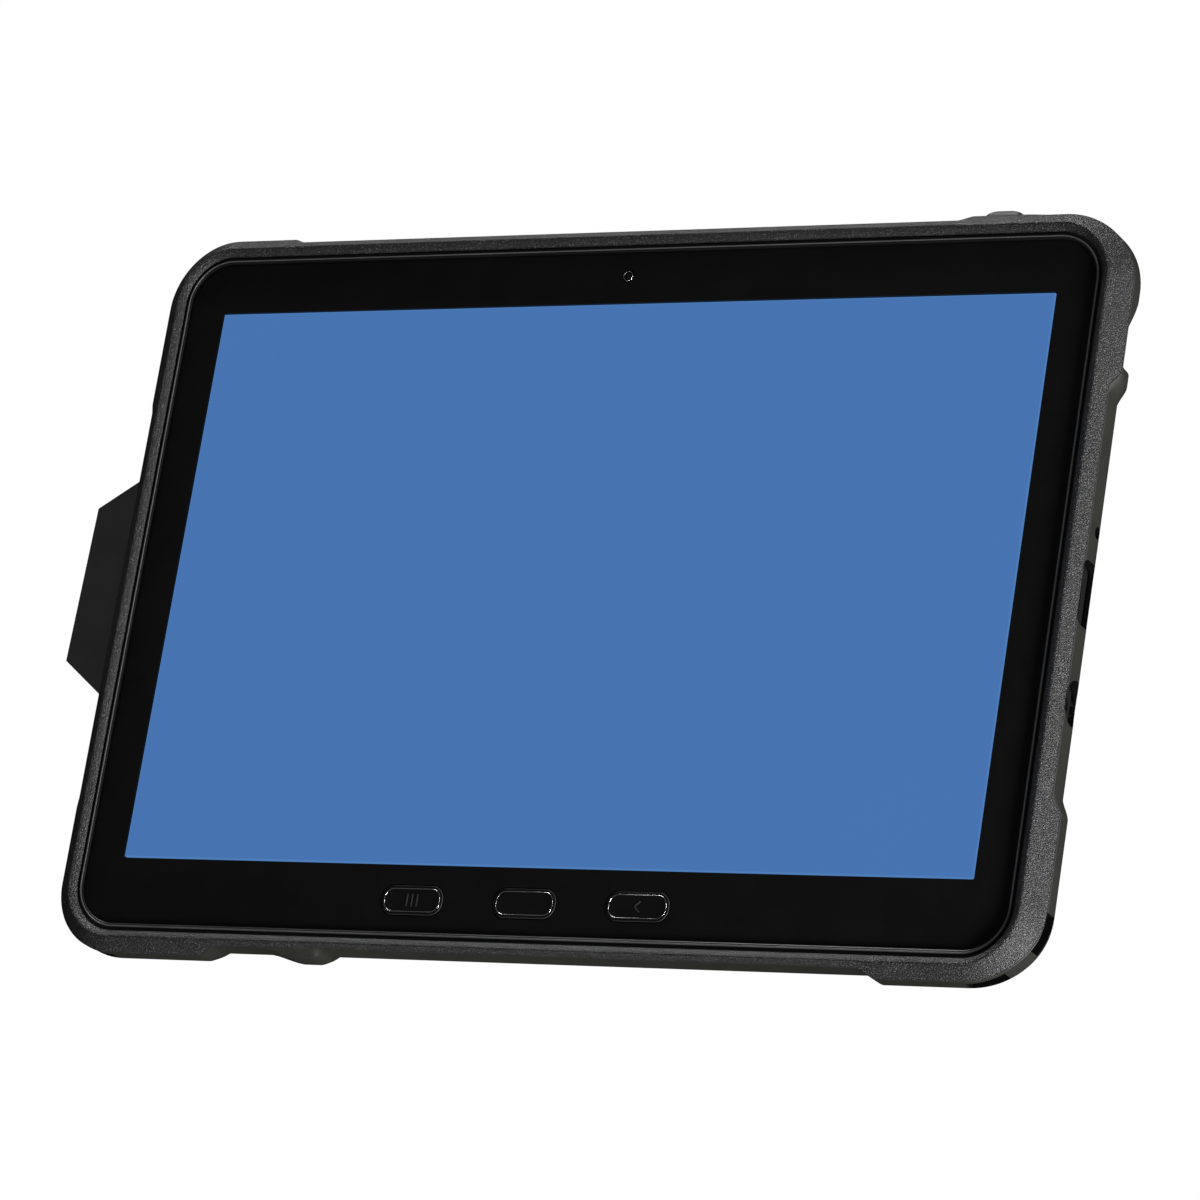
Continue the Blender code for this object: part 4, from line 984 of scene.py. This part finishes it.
def make_leg():
    """Flat leg with eased edges, a knuckle on the pin, ribs between pockets and a grip pad at the foot."""
    start, shoulder, tip = -50.5, -124.6, -143.9
    bend = shoulder - 2.4
    shape = [(start, -26), (start, 26), (start - 7, 33), (shoulder, 33), (bend, 31.4), (tip, 19.5),
             (tip, -19.5), (bend, -31.4), (shoulder, -33), (start - 7, -33)]
    plate = prism([(x * MM, y * MM) for x, y in shape], -3.3 * MM, -0.3 * MM)
    leg = add("leg_plate", plate, HUB)
    pockets = []
    for low, high in ((-76, -62), (-98, -80), (-119, -102)):
        for side in (-1, 1):
            pocket = rounded(((low + high) / 2 * MM, side * 15 * MM), (high - low) / 2 * MM, 12 * MM,
                             2 * MM, 5)
            pockets.append(add("cut", prism(pocket, -5 * MM, -2.3 * MM), HUB))
    carve(leg, pockets)
    barrel = pin_barrel(-101)
    knuckle = [(x * MM, z * MM) for x, z in barrel + [(-4.5, 2.5), (-4.5, -0.2)]]
    hinge = HUB @ PIN
    carve(leg, [add("cut", prism(knuckle, -16 * MM, 16 * MM, "y"), hinge)], "UNION")
    hole = oval((0.0, 0.0), 1.5 * MM, 1.5 * MM, 32)
    carve(leg, [add("cut", prism(hole, -20 * MM, 20 * MM, "y"), hinge)])
    finish_piece(leg, "leg", "leg", ("stand_leg",))
    soften(leg, 0.22 * MM, 2)
    grip = rounded((-134 * MM, 0.0), 5 * MM, 14 * MM, 2 * MM, 6)
    add("leg_grip", prism(grip, -3.5 * MM, -3.25 * MM), HUB, 60, "leg", LOOKS["gasket"])


# ---------------------------------------------------------------- camera, light, floor

# The camera that fits the lit screen's four corners: lens, place from the screen's middle, and two axes
LENS = 173.42
CAMERA_FROM_SCREEN = Vector((0.62763, -0.38093, 1.09710))
CAMERA_RIGHT = Vector((0.88148, 0.15406, -0.44638))
CAMERA_BACK = Vector((0.47222, -0.28608, 0.83377))
FLOOR_HALF = 12.0

def make_stage():
    """The photograph's view, five soft lights, and a floor white to the camera that lights nothing."""
    target = Vector((0.0, 0.0, SCREEN_Z))
    data = bpy.data.cameras.new("camera")
    data.sensor_width = 36.0
    data.lens = LENS
    data.clip_end = 50.0
    camera = bpy.data.objects.new("camera", data)
    bpy.context.scene.collection.objects.link(camera)
    up = CAMERA_BACK.cross(CAMERA_RIGHT)
    turn = Matrix((CAMERA_RIGHT, up, CAMERA_BACK)).transposed().to_4x4()
    camera.matrix_world = Matrix.Translation(target + CAMERA_FROM_SCREEN) @ turn
    bpy.context.scene.camera = camera

    lights = (
        ("key_right", (1.12, -0.66, 0.34), 0.7, 0.20, 20.0),
        ("back_low", (-0.30, 1.40, 0.20), 0.8, 0.30, 11.0),
        ("front_low", (0.20, -1.50, 0.07), 0.5, 0.12, 4.5),
        ("rim_right", (1.41, 0.43, 0.15), 0.4, 0.25, 6.0),
        ("rim_left", (-0.71, -1.31, 0.09), 0.4, 0.15, 0.5),
    )
    aim = Vector((0.0, 0.0, 0.02))
    for name, spot, wide, tall, power in lights:
        lamp = bpy.data.lights.new(name, "AREA")
        lamp.shape = "RECTANGLE"
        lamp.size = wide
        lamp.size_y = tall
        lamp.energy = power
        made = bpy.data.objects.new(name, lamp)
        made.location = spot
        made.rotation_euler = (aim - Vector(spot)).to_track_quat("-Z", "Y").to_euler()
        bpy.context.scene.collection.objects.link(made)

    world = bpy.data.worlds.new("studio")
    world.use_nodes = True
    sky = world.node_tree.nodes["Background"]
    sky.inputs["Color"].default_value = (1.0, 1.0, 1.0, 1.0)
    # Dim light all round, white where the camera sees past the floor
    seen = world.node_tree.nodes.new("ShaderNodeLightPath")
    strength = world.node_tree.nodes.new("ShaderNodeMapRange")
    strength.inputs["To Min"].default_value = 0.10
    strength.inputs["To Max"].default_value = 1.0
    world.node_tree.links.new(seen.outputs["Is Camera Ray"], strength.inputs["Value"])
    world.node_tree.links.new(strength.outputs["Result"], sky.inputs["Strength"])
    bpy.context.scene.world = world

    mesh = bmesh.new()
    bmesh.ops.create_grid(mesh, x_segments=2, y_segments=2, size=FLOOR_HALF)
    data = bpy.data.meshes.new("floor")
    mesh.to_mesh(data)
    mesh.free()
    floor = bpy.data.objects.new("floor", data)
    floor.location.z = cad_box[0].z
    pale = surface("floor_pale", (0.02, 0.02, 0.02), 0.9, specular=0.0, mottle=(0.4, 0.01))
    glow = pale.node_tree.nodes["Principled BSDF"]
    glow.inputs["Emission Color"].default_value = (1.0, 1.0, 1.0, 1.0)
    seen = pale.node_tree.nodes.new("ShaderNodeLightPath")
    pale.node_tree.links.new(seen.outputs["Is Camera Ray"], glow.inputs["Emission Strength"])
    data.materials.append(pale)
    bpy.context.scene.collection.objects.link(floor)
    bpy.context.scene.view_settings.view_transform = "Standard"


# ---------------------------------------------------------------- everything

def dress_cad():
    """Carried-over CAD nodes take their slot's finished material."""
    by_slot = {row["node"]: row["material_slot"] for row in frame["record"]["subparts"]}
    for name, node in frame["nodes"].items():
        node.data.materials.clear()
        node.data.materials.append(LOOKS[by_slot[name]])


make_stage()
dress_cad()
make_bumper()
make_gasket()
make_shell()
make_caps()
make_front_keys()
make_side_keys()
make_glass()
make_display()
make_cameras()
make_tablet_body()
make_sockets()
make_base()
make_turntable()
make_rods()
make_strap()
make_pad()
make_leg()

bpy.context.view_layer.update()
